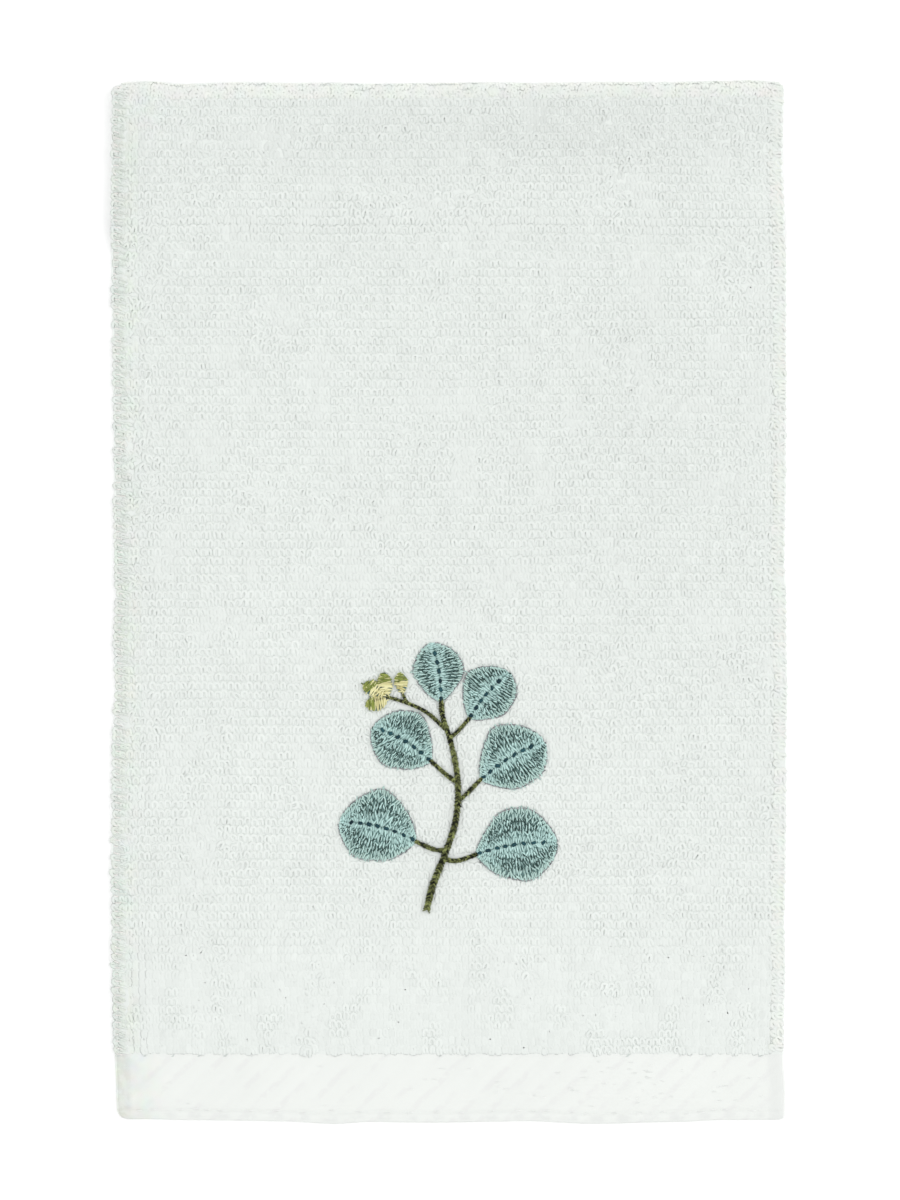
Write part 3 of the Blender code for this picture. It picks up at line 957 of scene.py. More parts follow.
def leaf_patches(draw):
    """A patch for each half of a leaf, none like the next."""
    found = {}
    for side in (-1, 1):
        start, end, strength = draw.random(3)
        found[side] = Patch(0.02 + 0.22 * start, 0.66 + 0.24 * end, 0.60 + 0.40 * strength)
    return found


def shade_share(patch, share, out):
    """How far into the dark patch of a leaf's half a place is: 0 outside it, 1 in its middle."""
    across = ease((out - 0.18) / 0.16) * (1 - ease((out - 0.58) / 0.22))
    fade_in = ease((share - patch.start) / PATCH_FADE)
    fade_out = 1 - ease((share - patch.end) / PATCH_FADE)
    return patch.strength * across * fade_in * fade_out


def leaf_strands(leaf, patches, draw):
    """The satin of a leaf: lines of stitches side by side from the midrib to the margin, on both its sides.
    Light and dark lines take turns: each lower line is darker, as painted shade between the raised lines, and
    more so in the patch along the middle of each half, where dark thread lies between them too."""
    found = []
    count = round(leaf.length / THREAD_PITCH)
    for side in (-1, 1):
        for index in range(count):
            share = 0.015 + 0.970 * (index + 0.5 + 0.12 * draw.normal()) / count
            ends = stitch_ends(leaf, share, draw)
            lower = index % 2
            for start, end in zip(ends, ends[1:]):
                middle = (start + end) / 2
                shade = shade_share(patches[side], share, middle)
                slip = 0.010 * draw.normal()
                points = []
                for step in STITCH_SHARES:
                    out = start + step * (end - start)
                    x, y = fan_point(leaf, share + slip * (2 * step - 1), side, out)
                    dip = 0.30 * MM * (2 * step - 1) ** 4 + (0.10 + 0.12 * shade) * MM * lower
                    points.append(sprig_place(x, y, satin_height(share, min(out, 1.0)) - dip))
                # Each lower line is darker, as painted shade between the raised ones; the patch darkens the
                # thread too.
                tone = 0.75 - 0.50 * shade + (1.00 + 0.95 * shade) * (0.5 - lower)
                tone += (0.45 + 0.25 * shade) * draw.normal()
                tint = 0.50 * ease((middle - 0.45) / 0.45)
                found.append(Strand(points, THREAD_RADIUS * (1.05 - 0.10 * lower), tone=tone, tint=tint))
    return found


# How far out from the midrib the flecks of a line start
FLECK_PLACES = (0.24, 0.37, 0.50, 0.63)


def shade_strands(leaf, patches, draw):
    """Dark flecks of thread between the satin's lines, in the patch in each half of a leaf."""
    found = []
    count = round(leaf.length / FLECK_PITCH)
    for side in (-1, 1):
        for index in range(count):
            share = (index + 0.5 + 0.10 * draw.normal()) / count
            for place in FLECK_PLACES:
                start = place + 0.03 * draw.normal()
                if draw.random() > 1.4 * shade_share(patches[side], share, start):
                    continue
                length = (1.8 + 1.5 * draw.random()) / (leaf.width / 2)
                slip = 0.008 * draw.normal()
                points = []
                for step in STITCH_SHARES:
                    out = min(start + step * length, 0.97)
                    x, y = fan_point(leaf, share + slip * (2 * step - 1), side, out)
                    points.append(sprig_place(x, y, satin_height(share, out) + 0.20 * MM))
                found.append(Strand(points, FLECK_RADIUS, tone=draw.normal()))
    return found


def margin_strands(leaf, draw):
    """The short slanting stitches that catch down a leaf's margin."""
    found = []
    for side in (-1, 1):
        share = 0.02
        while share < 0.995:
            length = 1.3 + 0.8 * draw.random()
            slant = 0.02 + 0.14 * draw.normal()
            x, y = blade_point(leaf, share, 0.97 * side)
            ahead_x, ahead_y = blade_point(leaf, min(share + 0.01, 1.0), 0.97 * side)
            heading = Vector((ahead_x - x, ahead_y - y)).normalized()
            heading.rotate(Matrix.Rotation(side * slant, 2))
            points = []
            for step in STITCH_SHARES:
                at = Vector((x, y)) + heading * (length * step)
                points.append(sprig_place(at.x, at.y, SATIN_BASE + 0.38 * MM))
            if draw.random() < 0.88:
                found.append(Strand(points, 0.32 * MM, tone=1.1 * draw.normal()))
            stride = math.hypot(ahead_x - x, ahead_y - y) / 0.01
            share += (length * 0.90 + 0.5 * draw.random()) / max(stride, leaf.length)
    return found


def knot_strands(leaf, draw):
    """The thick dark knots along a leaf's midrib, apart from each other on the light satin."""
    found = []
    place = 0.05
    while place < 0.86:
        length = 2.7 + 0.6 * draw.random()
        slant = 0.5 * draw.normal()
        x, y = blade_point(leaf, place, 0.0)
        turn = math.radians(leaf.turn_deg) + slant
        points = []
        for step in STITCH_SHARES:
            at_x = x + length * (step - 0.5) * math.cos(turn)
            at_y = y + length * (step - 0.5) * math.sin(turn)
            rise = satin_height(place, 0.0) + 0.45 * MM
            points.append(sprig_place(at_x, at_y, rise))
        found.append(Strand(points, KNOT_RADIUS * (1 + 0.12 * draw.normal()), tone=draw.normal()))
        place += KNOT_PITCH / leaf.length * (1 + 0.06 * draw.normal())
    return found


def smooth_curve(points, share):
    """A point at this share of a smooth curve through the points."""
    spans = len(points) - 1
    index = min(int(share * spans), spans - 1)
    t = share * spans - index
    before, start, end, after = (
        Vector(points[min(max(index + offset, 0), spans)]) for offset in (-1, 0, 1, 2))
    bend = 2 * before - 5 * start + 4 * end - after
    return start + 0.5 * t * (end - before + t * (bend + t * (3 * (start - end) + after - before)))


def along_curve(points, pitch):
    """The share, place and direction of points this far apart along a smooth curve."""
    fine = 400
    places = [smooth_curve(points, step / fine) for step in range(fine + 1)]
    found, travelled = [], 0.0
    for step in range(1, fine + 1):
        stride = places[step] - places[step - 1]
        travelled += stride.length
        while travelled >= pitch:
            travelled -= pitch
            found.append((step / fine, places[step], stride.normalized()))
    return found


def stem_half_width(stem, share):
    """Half the width of a stem at this share of its length."""
    return (stem.start + share * (stem.end - stem.start)) / 2


def arch(out):
    """The height of a round arch of radius 1, at this distance from its middle."""
    return math.sqrt(max(0.0, 1 - out * out))


def stem_strands(stem, draw):
    """The satin of a stem: short threads slanting in from both its edges, which overlap along its middle."""
    found = []
    for index, (share, place, heading) in enumerate(along_curve(stem.points, STEM_PITCH)):
        aside = Vector((-heading.y, heading.x))
        half = stem_half_width(stem, share) * (1 + 0.09 * draw.normal())
        for side in (-1, 1):
            slant = 0.85 + 0.25 * draw.normal()
            inner = -0.15 + 0.30 * draw.random()
            points = []
            for step in STITCH_SHARES:
                out = inner + step * (1 - inner)
                at = place + aside * (side * half * out) - heading * (half * slant * (out - 0.5))
                lift = SATIN_BASE + 0.35 * MM + half * 0.55 * MM * arch(out) + 0.15 * MM * (index % 2)
                points.append(sprig_place(at.x, at.y, lift))
            tone = -0.95 + 1.4 * draw.normal()
            found.append(Strand(points, STEM_THREAD_RADIUS, tone=tone))
    return found


def core_strands(stem):
    """The run of dark thread down a stem's middle, which its satin covers. It is near black, as painted shade
    in the gaps between the satin's threads.
    """
    places = along_curve(stem.points, STEM_PITCH)
    found = []
    for first in range(0, len(places) - 1, len(STITCH_SHARES) - 2):
        run = places[first:first + len(STITCH_SHARES)]
        if len(run) < len(STITCH_SHARES):
            run = places[-len(STITCH_SHARES):]
        half = stem_half_width(stem, run[0][0])
        points = [sprig_place(place.x, place.y, 0.25 * MM) for _, place, _ in run]
        found.append(Strand(points, CORE_SHARE * half * MM))
    return found


def bud_strands(bud, low, high, lift, draw):
    """Threads side by side across a bud, from one share of its length to another."""
    found = []
    count = round((high - low) * bud.length / THREAD_PITCH)
    for index in range(count):
        share = low + (high - low) * (index + 0.5) / count
        slip = 0.10 * draw.normal()
        slant = 0.05 + 0.05 * draw.normal()
        points = []
        for step in ARCH_SHARES:
            out = 2 * step - 1
            x, y = blade_point(bud, share + slant * out, out * (1 + slip))
            dome = arch(out) * blade_half_width(share)
            points.append(sprig_place(x, y, SATIN_BASE + 0.4 * MM + lift + 1.4 * MM * dome))
        tone = 0.6 - 0.5 * (index % 2) + 0.7 * draw.normal()
        found.append(Strand(points, THREAD_RADIUS, tone=tone))
    return found


def bud_fleck_strands(bud, draw):
    """A few small dark stitches where a bud's threads part."""
    found = []
    for index in range(BUD_FLECKS):
        share = 0.15 + 0.75 * draw.random()
        side = 1.4 * draw.random() - 0.7
        rise = SATIN_BASE + 0.85 * MM + 1.35 * MM * blade_half_width(share) * arch(side)
        points = []
        for step in STITCH_SHARES:
            x, y = blade_point(bud, share, side + 0.34 * (step - 0.5))
            points.append(sprig_place(x, y, rise))
        found.append(Strand(points, 0.22 * MM, tone=draw.normal()))
    return found


def padding_mesh(blades):
    """The padding under the satin: a closed cushion for each leaf and bud, a little inside its threads."""
    template = ball(sides=28, rings=12)
    cushions = []
    for blade in blades:
        points = []
        for x, y, z in template.points:
            share = 0.5 + 0.49 * x
            chord = math.sqrt(max(1e-9, 1 - x * x))
            side = y / chord if chord > 0.01 else 0.0
            east, north = blade_point(blade, share, 0.95 * side)
            top = satin_height(share, abs(side)) - 0.45 * MM
            points.append(sprig_place(east, north, top if z > 0.01 else -0.3 * MM))
        cushions.append(points)
    flat = np.zeros(len(blades))
    return join_copies("sprig_padding", template, np.array(cushions), {"tone": flat, "tint": flat})


def on_blade(blade, x, y, margin):
    """True for a place on a leaf or bud, or no further than the margin from its sides."""
    turn = math.radians(blade.turn_deg)
    east = x - blade.foot[0]
    north = y - blade.foot[1]
    share = (east * math.cos(turn) + north * math.sin(turn)) / blade.length
    if not -0.02 < share < 1.02:
        return False
    off = north * math.cos(turn) - east * math.sin(turn) - blade.bend * math.sin(math.pi * share)
    return abs(off) < blade.width / 2 * blade_half_width(share) + margin


def stem_places():
    """Points along the stems, with half their width there."""
    found = []
    for stem in STEMS:
        for share, place, _ in along_curve(stem.points, 1.0):
            found.append((place.x, place.y, stem_half_width(stem, share)))
    return np.array(found)


STEM_PLACES = stem_places()


def under_sprig(share, along):
    """True for a place of the pile that the embroidery covers."""
    x = ((share - 0.5) * CLOTH_WIDTH + SHIFT.x - SPRIG_MIDDLE[0]) / MM
    y = (along - FACE_LENGTH / 2 + SHIFT.y - SPRIG_MIDDLE[1]) / MM
    if abs(x) > SPRIG_REACH[0] or abs(y) > SPRIG_REACH[1]:
        return False
    if any(on_blade(blade, x, y, BLADE_MARGIN) for blade in LEAVES + BUDS):
        return True
    gaps = np.hypot(STEM_PLACES[:, 0] - x, STEM_PLACES[:, 1] - y) - STEM_PLACES[:, 2]
    return bool((gaps < STEM_MARGIN).any())


def make_sprig():
    """All the threads of the sprig, each kind of thread one piece."""
    draw = np.random.default_rng(SPRIG_SEED)
    leaves = [(leaf, leaf_patches(draw)) for leaf in LEAVES]
    flat = {
        "sprig_leaves": [leaf_strands(leaf, patches, draw) for leaf, patches in leaves],
        "sprig_leaf_shades": [shade_strands(leaf, patches, draw) for leaf, patches in leaves],
        "sprig_leaf_margins": [margin_strands(leaf, draw) for leaf in LEAVES],
        "sprig_knots": [knot_strands(leaf, draw) for leaf in LEAVES],
        "sprig_stems": [stem_strands(stem, draw) for stem in STEMS],
        "sprig_stem_shade_cores": [core_strands(stem) for stem in STEMS],
        "sprig_bud_flecks": [bud_fleck_strands(bud, draw) for bud in BUDS],
    }
    arched = {
        "sprig_buds": [bud_strands(bud, 0.03, 0.97, 0.0, draw) for bud in BUDS],
        "sprig_bud_caps": [bud_strands(bud, BUD_CAP, 0.99, 0.3 * MM, draw) for bud in BUDS],
    }
    made = [add_threads(name, groups, STITCH_SWELL) for name, groups in flat.items()]
    made += [add_threads(name, groups, ARCH_SWELL) for name, groups in arched.items()]
    padding = padding_mesh(LEAVES + BUDS)
    made.append(add_piece("sprig_padding", padding, thread_material("sprig_padding")))
    return made


# ---- Sewing of the hems -------------------------------------------------------------------------------

SEWING_SEED = 23

# The oversewn left edge: how far apart its stitches are, how far in from the rim they start, and how much
# lighter they are at the hem than at the fold. Short and long ones take turns: how far each reaches in and
# drops towards the hem, its height, how light it is and which way its colour goes.
EDGE_STITCH_PITCH = 0.0021
EDGE_STITCH_START = 0.0011
EDGE_FADE = 1.4
EdgeStitch = namedtuple("EdgeStitch", "reach drop lift tone tint")
EDGE_STITCHES = (
    EdgeStitch(0.0036, 0.0006, 0.25 * MM, 0.0, 1.0),
    EdgeStitch(0.0078, 0.0024, 0.25 * MM + 0.45 * MM, -0.4, -1.0),
)

# The hem's lockstitch: how far apart its stitches are, and the share of gaps that are only half as wide
SEAM_STITCH_PITCH = 0.0163
HALF_GAPS = 0.30

# The loose floats of weft: how many there are, how many of them lie where the hem puckers the band, and the
# middle and the spread of that stretch
FLOAT_COUNT = 56
PUCKERED_FLOATS = 34
PUCKERED_MIDDLE = 0.112
PUCKERED_SPREAD = 0.034


def lifted(place, height):
    """The point this far above a place."""
    return place + Vector((0.0, 0.0, height))


def edge_strands(draw):
    """The oversewn left edge: fine threads side by side over the rim, short and long ones in turns."""
    found = []
    along = PILE_START + 0.001
    index = 0
    while along < FOLD_CENTRE + 0.001:
        stitch = EDGE_STITCHES[index % 2]
        reach = stitch.reach + 0.0008 * draw.normal()
        drop = stitch.drop + 0.0005 * draw.normal()
        points = []
        for step in ARCH_SHARES:
            share = (EDGE_STITCH_START + step * reach) / CLOTH_WIDTH
            place = on_cloth(share, along - step * drop)
            sink = 0.9 * MM * max(0.0, 1 - step / 0.12)
            points.append(lifted(place, stitch.lift + 0.25 * MM * math.sin(math.pi * step) - sink))
        tone = draw.normal() + stitch.tone + EDGE_FADE * (1 - along / FACE_LENGTH)
        found.append(Strand(points, 0.34 * MM, tone=tone, tint=stitch.tint))
        along += EDGE_STITCH_PITCH * (1 + 0.12 * draw.normal())
        index += 1
    return found


def seam_strands(draw):
    """The lockstitch of the hem at the band: slivers of white thread, sunk in the cloth between them."""
    found = []
    across = 0.012
    while across < CLOTH_WIDTH - 0.008:
        length = 0.0034 + 0.0014 * draw.random()
        along = HEM_SEAM + 0.0005 * draw.normal()
        tilt = 0.0004 * draw.normal()
        points = []
        for step in ARCH_SHARES:
            place = on_cloth((across + step * length) / CLOTH_WIDTH, along + step * tilt)
            points.append(lifted(place, 0.28 * MM * math.sin(math.pi * step) - 0.02 * MM))
        found.append(Strand(points, 0.26 * MM, tone=draw.normal()))
        gap = 0.5 if draw.random() < HALF_GAPS else 1.0
        across += SEAM_STITCH_PITCH * gap * (1 + 0.08 * draw.normal())
    return found


def float_strands(draw):
    """Short floats of weft that stand proud of the band, most of them where the hem puckers it."""
    found = []
    for index in range(FLOAT_COUNT):
        if index < PUCKERED_FLOATS:
            x = PUCKERED_MIDDLE + PUCKERED_SPREAD * draw.normal()
        else:
            x = 0.18 * (2 * draw.random() - 1)
        along = 0.0095 + 0.0270 * draw.random()
        share = min(max((x - SHIFT.x) / CLOTH_WIDTH + 0.5, 0.04), 0.96)
        length = 0.0022 + 0.0026 * draw.random()
        points = []
        for step in ARCH_SHARES:
            place = on_cloth(share + step * length / CLOTH_WIDTH, along)
            points.append(lifted(place, 0.22 * MM * math.sin(math.pi * step) - 0.04 * MM))
        found.append(Strand(points, 0.20 * MM, tone=draw.normal()))
    return found


def make_sewing():
    """The threads of the hems and the band's loose floats, each kind one piece."""
    draw = np.random.default_rng(SEWING_SEED)
    kinds = {
        "edge_stitches": [edge_strands(draw)],
        "seam_stitches": [seam_strands(draw)],
        "weft_floats": [float_strands(draw)],
    }
    return [add_threads(name, groups, ARCH_SWELL) for name, groups in kinds.items()]


# ---- Materials ----------------------------------------------------------------------------------------

# Each thread's dark and light colour, its tint, its roughness, the height of its twist, and its shine
Thread = namedtuple("Thread", "dark light tint roughness twist shine", defaults=(0.5,))
THREADS = {
    "sprig_leaves": Thread((0.060, 0.145, 0.135), (0.600, 0.835, 0.800), (0.520, 0.680, 0.620), 0.38, 0.5),
    "sprig_leaf_shades": Thread((0.006, 0.026, 0.024), (0.055, 0.105, 0.090), None, 0.50, 0.5, 0.2),
    "sprig_leaf_margins": Thread((0.120, 0.110, 0.130), (0.400, 0.390, 0.410), None, 0.55, 0.5),
    "sprig_knots": Thread((0.003, 0.020, 0.030), (0.020, 0.080, 0.095), None, 0.45, 0.5, 0.2),
    "sprig_stems": Thread((0.008, 0.010, 0.003), (0.320, 0.360, 0.130), None, 0.45, 0.5, 0.2),
    # The stem cores' near black is painted shade in the gaps of the stems' satin.
    "sprig_stem_shade_cores": Thread((0.010, 0.012, 0.005), (0.030, 0.034, 0.012), None, 0.60, 0.0, 0.1),
    "sprig_buds": Thread((0.450, 0.400, 0.130), (0.960, 0.940, 0.580), None, 0.40, 0.5),
    "sprig_bud_caps": Thread((0.040, 0.070, 0.006), (0.360, 0.420, 0.080), None, 0.45, 0.5),
    "sprig_bud_flecks": Thread((0.050, 0.050, 0.020), (0.160, 0.130, 0.080), None, 0.50, 0.5),
    "sprig_padding": Thread((0.110, 0.200, 0.190), (0.110, 0.200, 0.190), None, 0.80, 0.0),
    "edge_stitches": Thread((0.655, 0.698, 0.652), (0.805, 0.846, 0.800), (0.865, 0.838, 0.815), 0.70, 0.6),
    "seam_stitches": Thread((0.780, 0.795, 0.780), (0.880, 0.890, 0.880), None, 0.55, 0.6),
    "weft_floats": Thread((0.760, 0.780, 0.760), (0.880, 0.890, 0.880), None, 0.60, 0.6),
}
MINT = (0.717, 0.750, 0.724)
MINT_LEFT_HEM = (0.714, 0.754, 0.712)
# Warmer along the fold and the right hem, and a little lighter there as painted light
MINT_WARM_LIT = (0.740, 0.767, 0.730)
GROUND = (0.735, 0.768, 0.742)
# Painted shade in the nicks where the pile meets the band between its ribs
NICK_SHADE = (0.560, 0.600, 0.575)
BAND = (0.766, 0.788, 0.762)
# Painted shade in the grooves between the band's ribs
BAND_GROOVE_SHADE = (0.740, 0.753, 0.736)
BAND_SIDE = (0.642, 0.667, 0.624)
BAND_SIDE_PATCH = (0.683, 0.717, 0.676)
HEM_SHADE = (0.718, 0.736, 0.718)

# How much lighter the cloth is painted at its cut rim, as painted light against the shade there, and how far in
# from the rim it shows
RIM_PAINTED_LIGHT = 0.16
RIM_REACH = 0.0012

# How far the hue drifts in patches, in the hems' and the fold's loops and at the left end of the band, and
# the size of those patches. It drifts at the top left corner too, between these places.
PILE_DRIFT = 0.10
BAND_DRIFT = 0.14
PILE_DRIFT_SIZE = 0.0100
BAND_DRIFT_SIZE = 0.0075
CORNER_ACROSS = (-0.140, -0.190)
CORNER_ALONG = (0.270, 0.300)

# Soft mottling over the whole cloth: the size of its patches, and their share of the brightness
MOTTLE_SIZE = 0.045
MOTTLE_SHARE = 0.05

# The pitch and height of a thread's twist, and the pitch of the weave
TWIST_PITCH = 0.0011
TWIST_HEIGHT = 0.00005
WEAVE_PITCH = 0.0008

# The band's ends, by the distance from the left edge: where the oversewn rim, its darker patches and the
# drift of hue set in, and where the right end is shaded, and how much. Last, the middle line of the turned hem.
LEFT_RIM = (0.0115, 0.0065)
LEFT_PATCHES = (0.0360, 0.0085)
LEFT_DRIFT = (0.0380, 0.0140)
RIGHT_SHADE = (CLOTH_WIDTH - 0.0120, CLOTH_WIDTH - 0.0085)
RIGHT_SHADE_SHARE = 0.65
HEM_MIDDLE = 0.0032


def new_material(name):
    """A new material, with its node tree and its shader."""
    material = bpy.data.materials.new(name)
    material.use_nodes = True
    return material, material.node_tree, material.node_tree.nodes["Principled BSDF"]


def node(tree, kind, inputs=None, **settings):
    """Adds a node. inputs gives values or other nodes' outputs for its sockets, by name or number."""
    made = tree.nodes.new(kind)
    for key, value in settings.items():
        setattr(made, key, value)
    for key, value in (inputs or {}).items():
        if isinstance(value, bpy.types.NodeSocket):
            tree.links.new(value, made.inputs[key])
        else:
            made.inputs[key].default_value = value
    return made


def math_node(tree, operation, first, second=0.0):
    """A step of arithmetic on numbers or number outputs."""
    return node(tree, "ShaderNodeMath", {0: first, 1: second}, operation=operation).outputs[0]


def times(tree, first, second):
    """The product of two numbers or number outputs."""
    return math_node(tree, "MULTIPLY", first, second)


def plus(tree, first, second):
    """The sum of two numbers or number outputs."""
    return math_node(tree, "ADD", first, second)


def minus(tree, first, second):
    """The difference of two numbers or number outputs."""
    return math_node(tree, "SUBTRACT", first, second)


def vector_math(tree, operation, first, second):
    """A step of arithmetic on colours or places. SCALE takes a number as its second value."""
    other = "Scale" if operation == "SCALE" else 1
    return node(tree, "ShaderNodeVectorMath", {0: first, other: second}, operation=operation).outputs[0]


def ramp(tree, value, low, high):
    """0 where the value is low, and 1 where it is high."""
    found = node(tree, "ShaderNodeMapRange", {"Value": value, "From Min": low, "From Max": high})
    found.interpolation_type = "SMOOTHSTEP"
    return found.outputs["Result"]


def noise_mask(tree, place, size):
    """Uneven patches of a size, from about 0.3 to 0.7."""
    inputs = {"Vector": place, "Scale": 1 / size, "Detail": 2.0}
    return node(tree, "ShaderNodeTexNoise", inputs).outputs["Fac"]


def mix_colours(tree, share, first, second):
    """first where the share is 0, and second where it is 1. Each is a colour or a colour output."""
    inputs = {"Factor": share}
    for key, colour in (("A", first), ("B", second)):
        inputs[key] = colour if isinstance(colour, bpy.types.NodeSocket) else (*colour, 1.0)
    found = node(tree, "ShaderNodeMix", inputs, data_type="RGBA")
    return found.outputs["Result"]


# The kinds of the groups' sockets. The rest are numbers.
SOCKET_KINDS = {"Colour": "NodeSocketColor", "Place": "NodeSocketVector", "Thread": "NodeSocketVector"}


def new_group(name, inputs, output):
    """A shader node group with these sockets. Its input sockets and its output are returned with it."""
    group = bpy.data.node_groups.new(name, "ShaderNodeTree")
    for key in inputs:
        kind = SOCKET_KINDS.get(key, "NodeSocketFloat")
        group.interface.new_socket(key, in_out="INPUT", socket_type=kind)
    kind = SOCKET_KINDS.get(output, "NodeSocketFloat")
    group.interface.new_socket(output, in_out="OUTPUT", socket_type=kind)
    start = group.nodes.new("NodeGroupInput").outputs
    return group, start, group.nodes.new("NodeGroupOutput").inputs[output]


def group_noise(group, start, detail, output="Fac"):
    """Noise in patches of the size that the group is given, at the place that it is given."""
    scale = math_node(group, "DIVIDE", 1.0, start["Size"])
    inputs = {"Vector": start["Place"], "Scale": scale, "Detail": detail}
    return node(group, "ShaderNodeTexNoise", inputs).outputs[output]


def mottling_group():
    """Soft uneven colour, as in washed cotton: patches of a size, by a share of the brightness. Tone is a
    share that is already known, such as a strand's own."""
    group, start, end = new_group("soft mottling", ("Colour", "Place", "Size", "Amount", "Tone"), "Colour")
    centred = minus(group, group_noise(group, start, 2.0), 0.5)
    change = times(group, centred, start["Amount"])
    factor = plus(group, plus(group, change, start["Tone"]), 1.0)
    group.links.new(vector_math(group, "SCALE", start["Colour"], factor), end)
    return group


def fibre_group():
    """The height of cotton's fine fibres."""
    group, start, end = new_group("cotton fibre", ("Place", "Size"), "Height")
    group.links.new(group_noise(group, start, 3.0), end)
    return group


def twist_group():
    """The height of a twisted thread, read from its own UV map: round it, and along it in metres."""
    group, start, end = new_group("thread twist", ("Thread", "Pitch"), "Height")
    split = node(group, "ShaderNodeSeparateXYZ", {"Vector": start["Thread"]}).outputs
    along = math_node(group, "DIVIDE", split["Y"], start["Pitch"])
    turns = plus(group, along, split["X"])
    group.links.new(math_node(group, "SINE", times(group, turns, math.tau)), end)
    return group


def drift_group():
    """Faint patches of other hues, each channel of the colour changed by its own share, as at washed hems."""
    group, start, end = new_group("hue drift", ("Colour", "Place", "Size", "Amount"), "Colour")
    hues = group_noise(group, start, 1.0, output="Color")
    centred = vector_math(group, "SUBTRACT", hues, (0.5, 0.5, 0.5))
    change = vector_math(group, "SCALE", centred, start["Amount"])
    factor = vector_math(group, "ADD", change, (1.0, 1.0, 1.0))
    group.links.new(vector_math(group, "MULTIPLY", start["Colour"], factor), end)
    return group


MOTTLING = mottling_group()
FIBRE = fibre_group()
TWIST = twist_group()
DRIFT = drift_group()


def use_group(tree, group, inputs):
    """The output of a shared group, with these values or outputs on its inputs."""
    return node(tree, "ShaderNodeGroup", inputs, node_tree=group).outputs[0]


def object_place(tree):
    """The place of a point on its own object, in metres."""
    return node(tree, "ShaderNodeTexCoord").outputs["Object"]


def attribute(tree, name):
    """A number that each strand carries."""
    return node(tree, "ShaderNodeAttribute", attribute_name=name).outputs["Fac"]


def tone_colour(tree, dark, light, reach):
    """A colour between dark and light, by each strand's own tone from -reach to reach."""
    inputs = {"Value": attribute(tree, "tone"), "From Min": -reach, "From Max": reach}
    share = node(tree, "ShaderNodeMapRange", inputs).outputs["Result"]
    return mix_colours(tree, share, dark, light)


def bump(tree, shader, height, distance, strength):
    """Gives a shader fine relief."""
    made = node(tree, "ShaderNodeBump", {"Height": height, "Distance": distance, "Strength": strength})
    tree.links.new(made.outputs["Normal"], shader.inputs["Normal"])


def thread_material(name):
    """The material of a kind of thread, with each strand's own tone and the twist along it."""
    thread = THREADS[name]
    material, tree, shader = new_material(name.replace("_", " "))
    colour = tone_colour(tree, thread.dark, thread.light, 2.0)
    if thread.tint:
        colour = mix_colours(tree, ramp(tree, attribute(tree, "tint"), 0.0, 1.0), colour, thread.tint)
    tree.links.new(colour, shader.inputs["Base Color"])
    shader.inputs["Roughness"].default_value = thread.roughness
    shader.inputs["Specular IOR Level"].default_value = thread.shine
    if thread.twist:
        along_thread = node(tree, "ShaderNodeUVMap", uv_map="thread").outputs["UV"]
        twist = use_group(tree, TWIST, {"Thread": along_thread, "Pitch": TWIST_PITCH})
        bump(tree, shader, twist, TWIST_HEIGHT, thread.twist)
    return material


def mottled(tree, colour, place, tone):
    """A colour with the soft mottling of the whole cloth, made lighter or darker by the tone that it is given,
    which carries the painted light and shade of the pile and of the cloth's rim.
    """
    return use_group(tree, MOTTLING, {
        "Colour": colour, "Place": place, "Size": MOTTLE_SIZE, "Amount": MOTTLE_SHARE, "Tone": tone})


def pile_material():
    """Matt cotton loops: mint, greener in the left hem, warmer along the fold and the right hem, and a little
    lighter there as painted light.
    """
    material, tree, shader = new_material("terry pile")
    place = object_place(tree)
    tint = attribute(tree, "tint")
    colour = mix_colours(tree, ramp(tree, tint, 0.0, -1.0), MINT, MINT_LEFT_HEM)
    colour = mix_colours(tree, ramp(tree, tint, 0.0, 1.0), colour, MINT_WARM_LIT)
    # Each loop's tone carries its painted light and shade.
    colour = mottled(tree, colour, place, attribute(tree, "tone"))
    split = node(tree, "ShaderNodeSeparateXYZ", {"Vector": place}).outputs
    in_corner = times(tree, ramp(tree, split["X"], *CORNER_ACROSS), ramp(tree, split["Y"], *CORNER_ALONG))
    strength = math_node(tree, "MAXIMUM", math_node(tree, "ABSOLUTE", tint), in_corner)
    amount = times(tree, strength, PILE_DRIFT)
    colour = use_group(
        tree, DRIFT, {"Colour": colour, "Place": place, "Size": PILE_DRIFT_SIZE, "Amount": amount})
    tree.links.new(colour, shader.inputs["Base Color"])
    bump(tree, shader, use_group(tree, FIBRE, {"Place": place, "Size": 0.0006}), 0.00025, 0.6)
    shader.inputs["Roughness"].default_value = 0.92
    shader.inputs["Specular IOR Level"].default_value = 0.15
    shader.inputs["Sheen Weight"].default_value = 0.10
    return material


# What the woven cloth's looks are read from: the place, the distances from its left edge and its hem, the
# waves of its ribs and of its hem, and uneven and fine patches
Woven = namedtuple("Woven", "place from_left from_hem ribs hem_ribs uneven fine")


def woven_places(tree):
    """Reads the cloth's own UV map: across it, and along it from the hem."""
    place = object_place(tree)
    flat = node(tree, "ShaderNodeUVMap", uv_map="cloth").outputs["UV"]
    split = node(tree, "ShaderNodeSeparateXYZ", {"Vector": flat}).outputs
    from_left = times(tree, split["X"], CLOTH_WIDTH)
    from_hem = times(tree, split["Y"], CLOTH_LENGTH)
    uneven = noise_mask(tree, place, 0.018)
    fine = noise_mask(tree, place, 0.0045)
    wander = times(tree, minus(tree, fine, 0.5), 0.20)
    upright = times(tree, split["X"], float(RIB_COUNT))
    diagonal = minus(tree, upright, math_node(tree, "DIVIDE", from_hem, RIB_RISE))
    ribs, hem_ribs = (
        math_node(tree, "COSINE", times(tree, plus(tree, turns, wander), math.tau))
        for turns in (diagonal, upright))
    return Woven(place, from_left, from_hem, ribs, hem_ribs, uneven, fine)


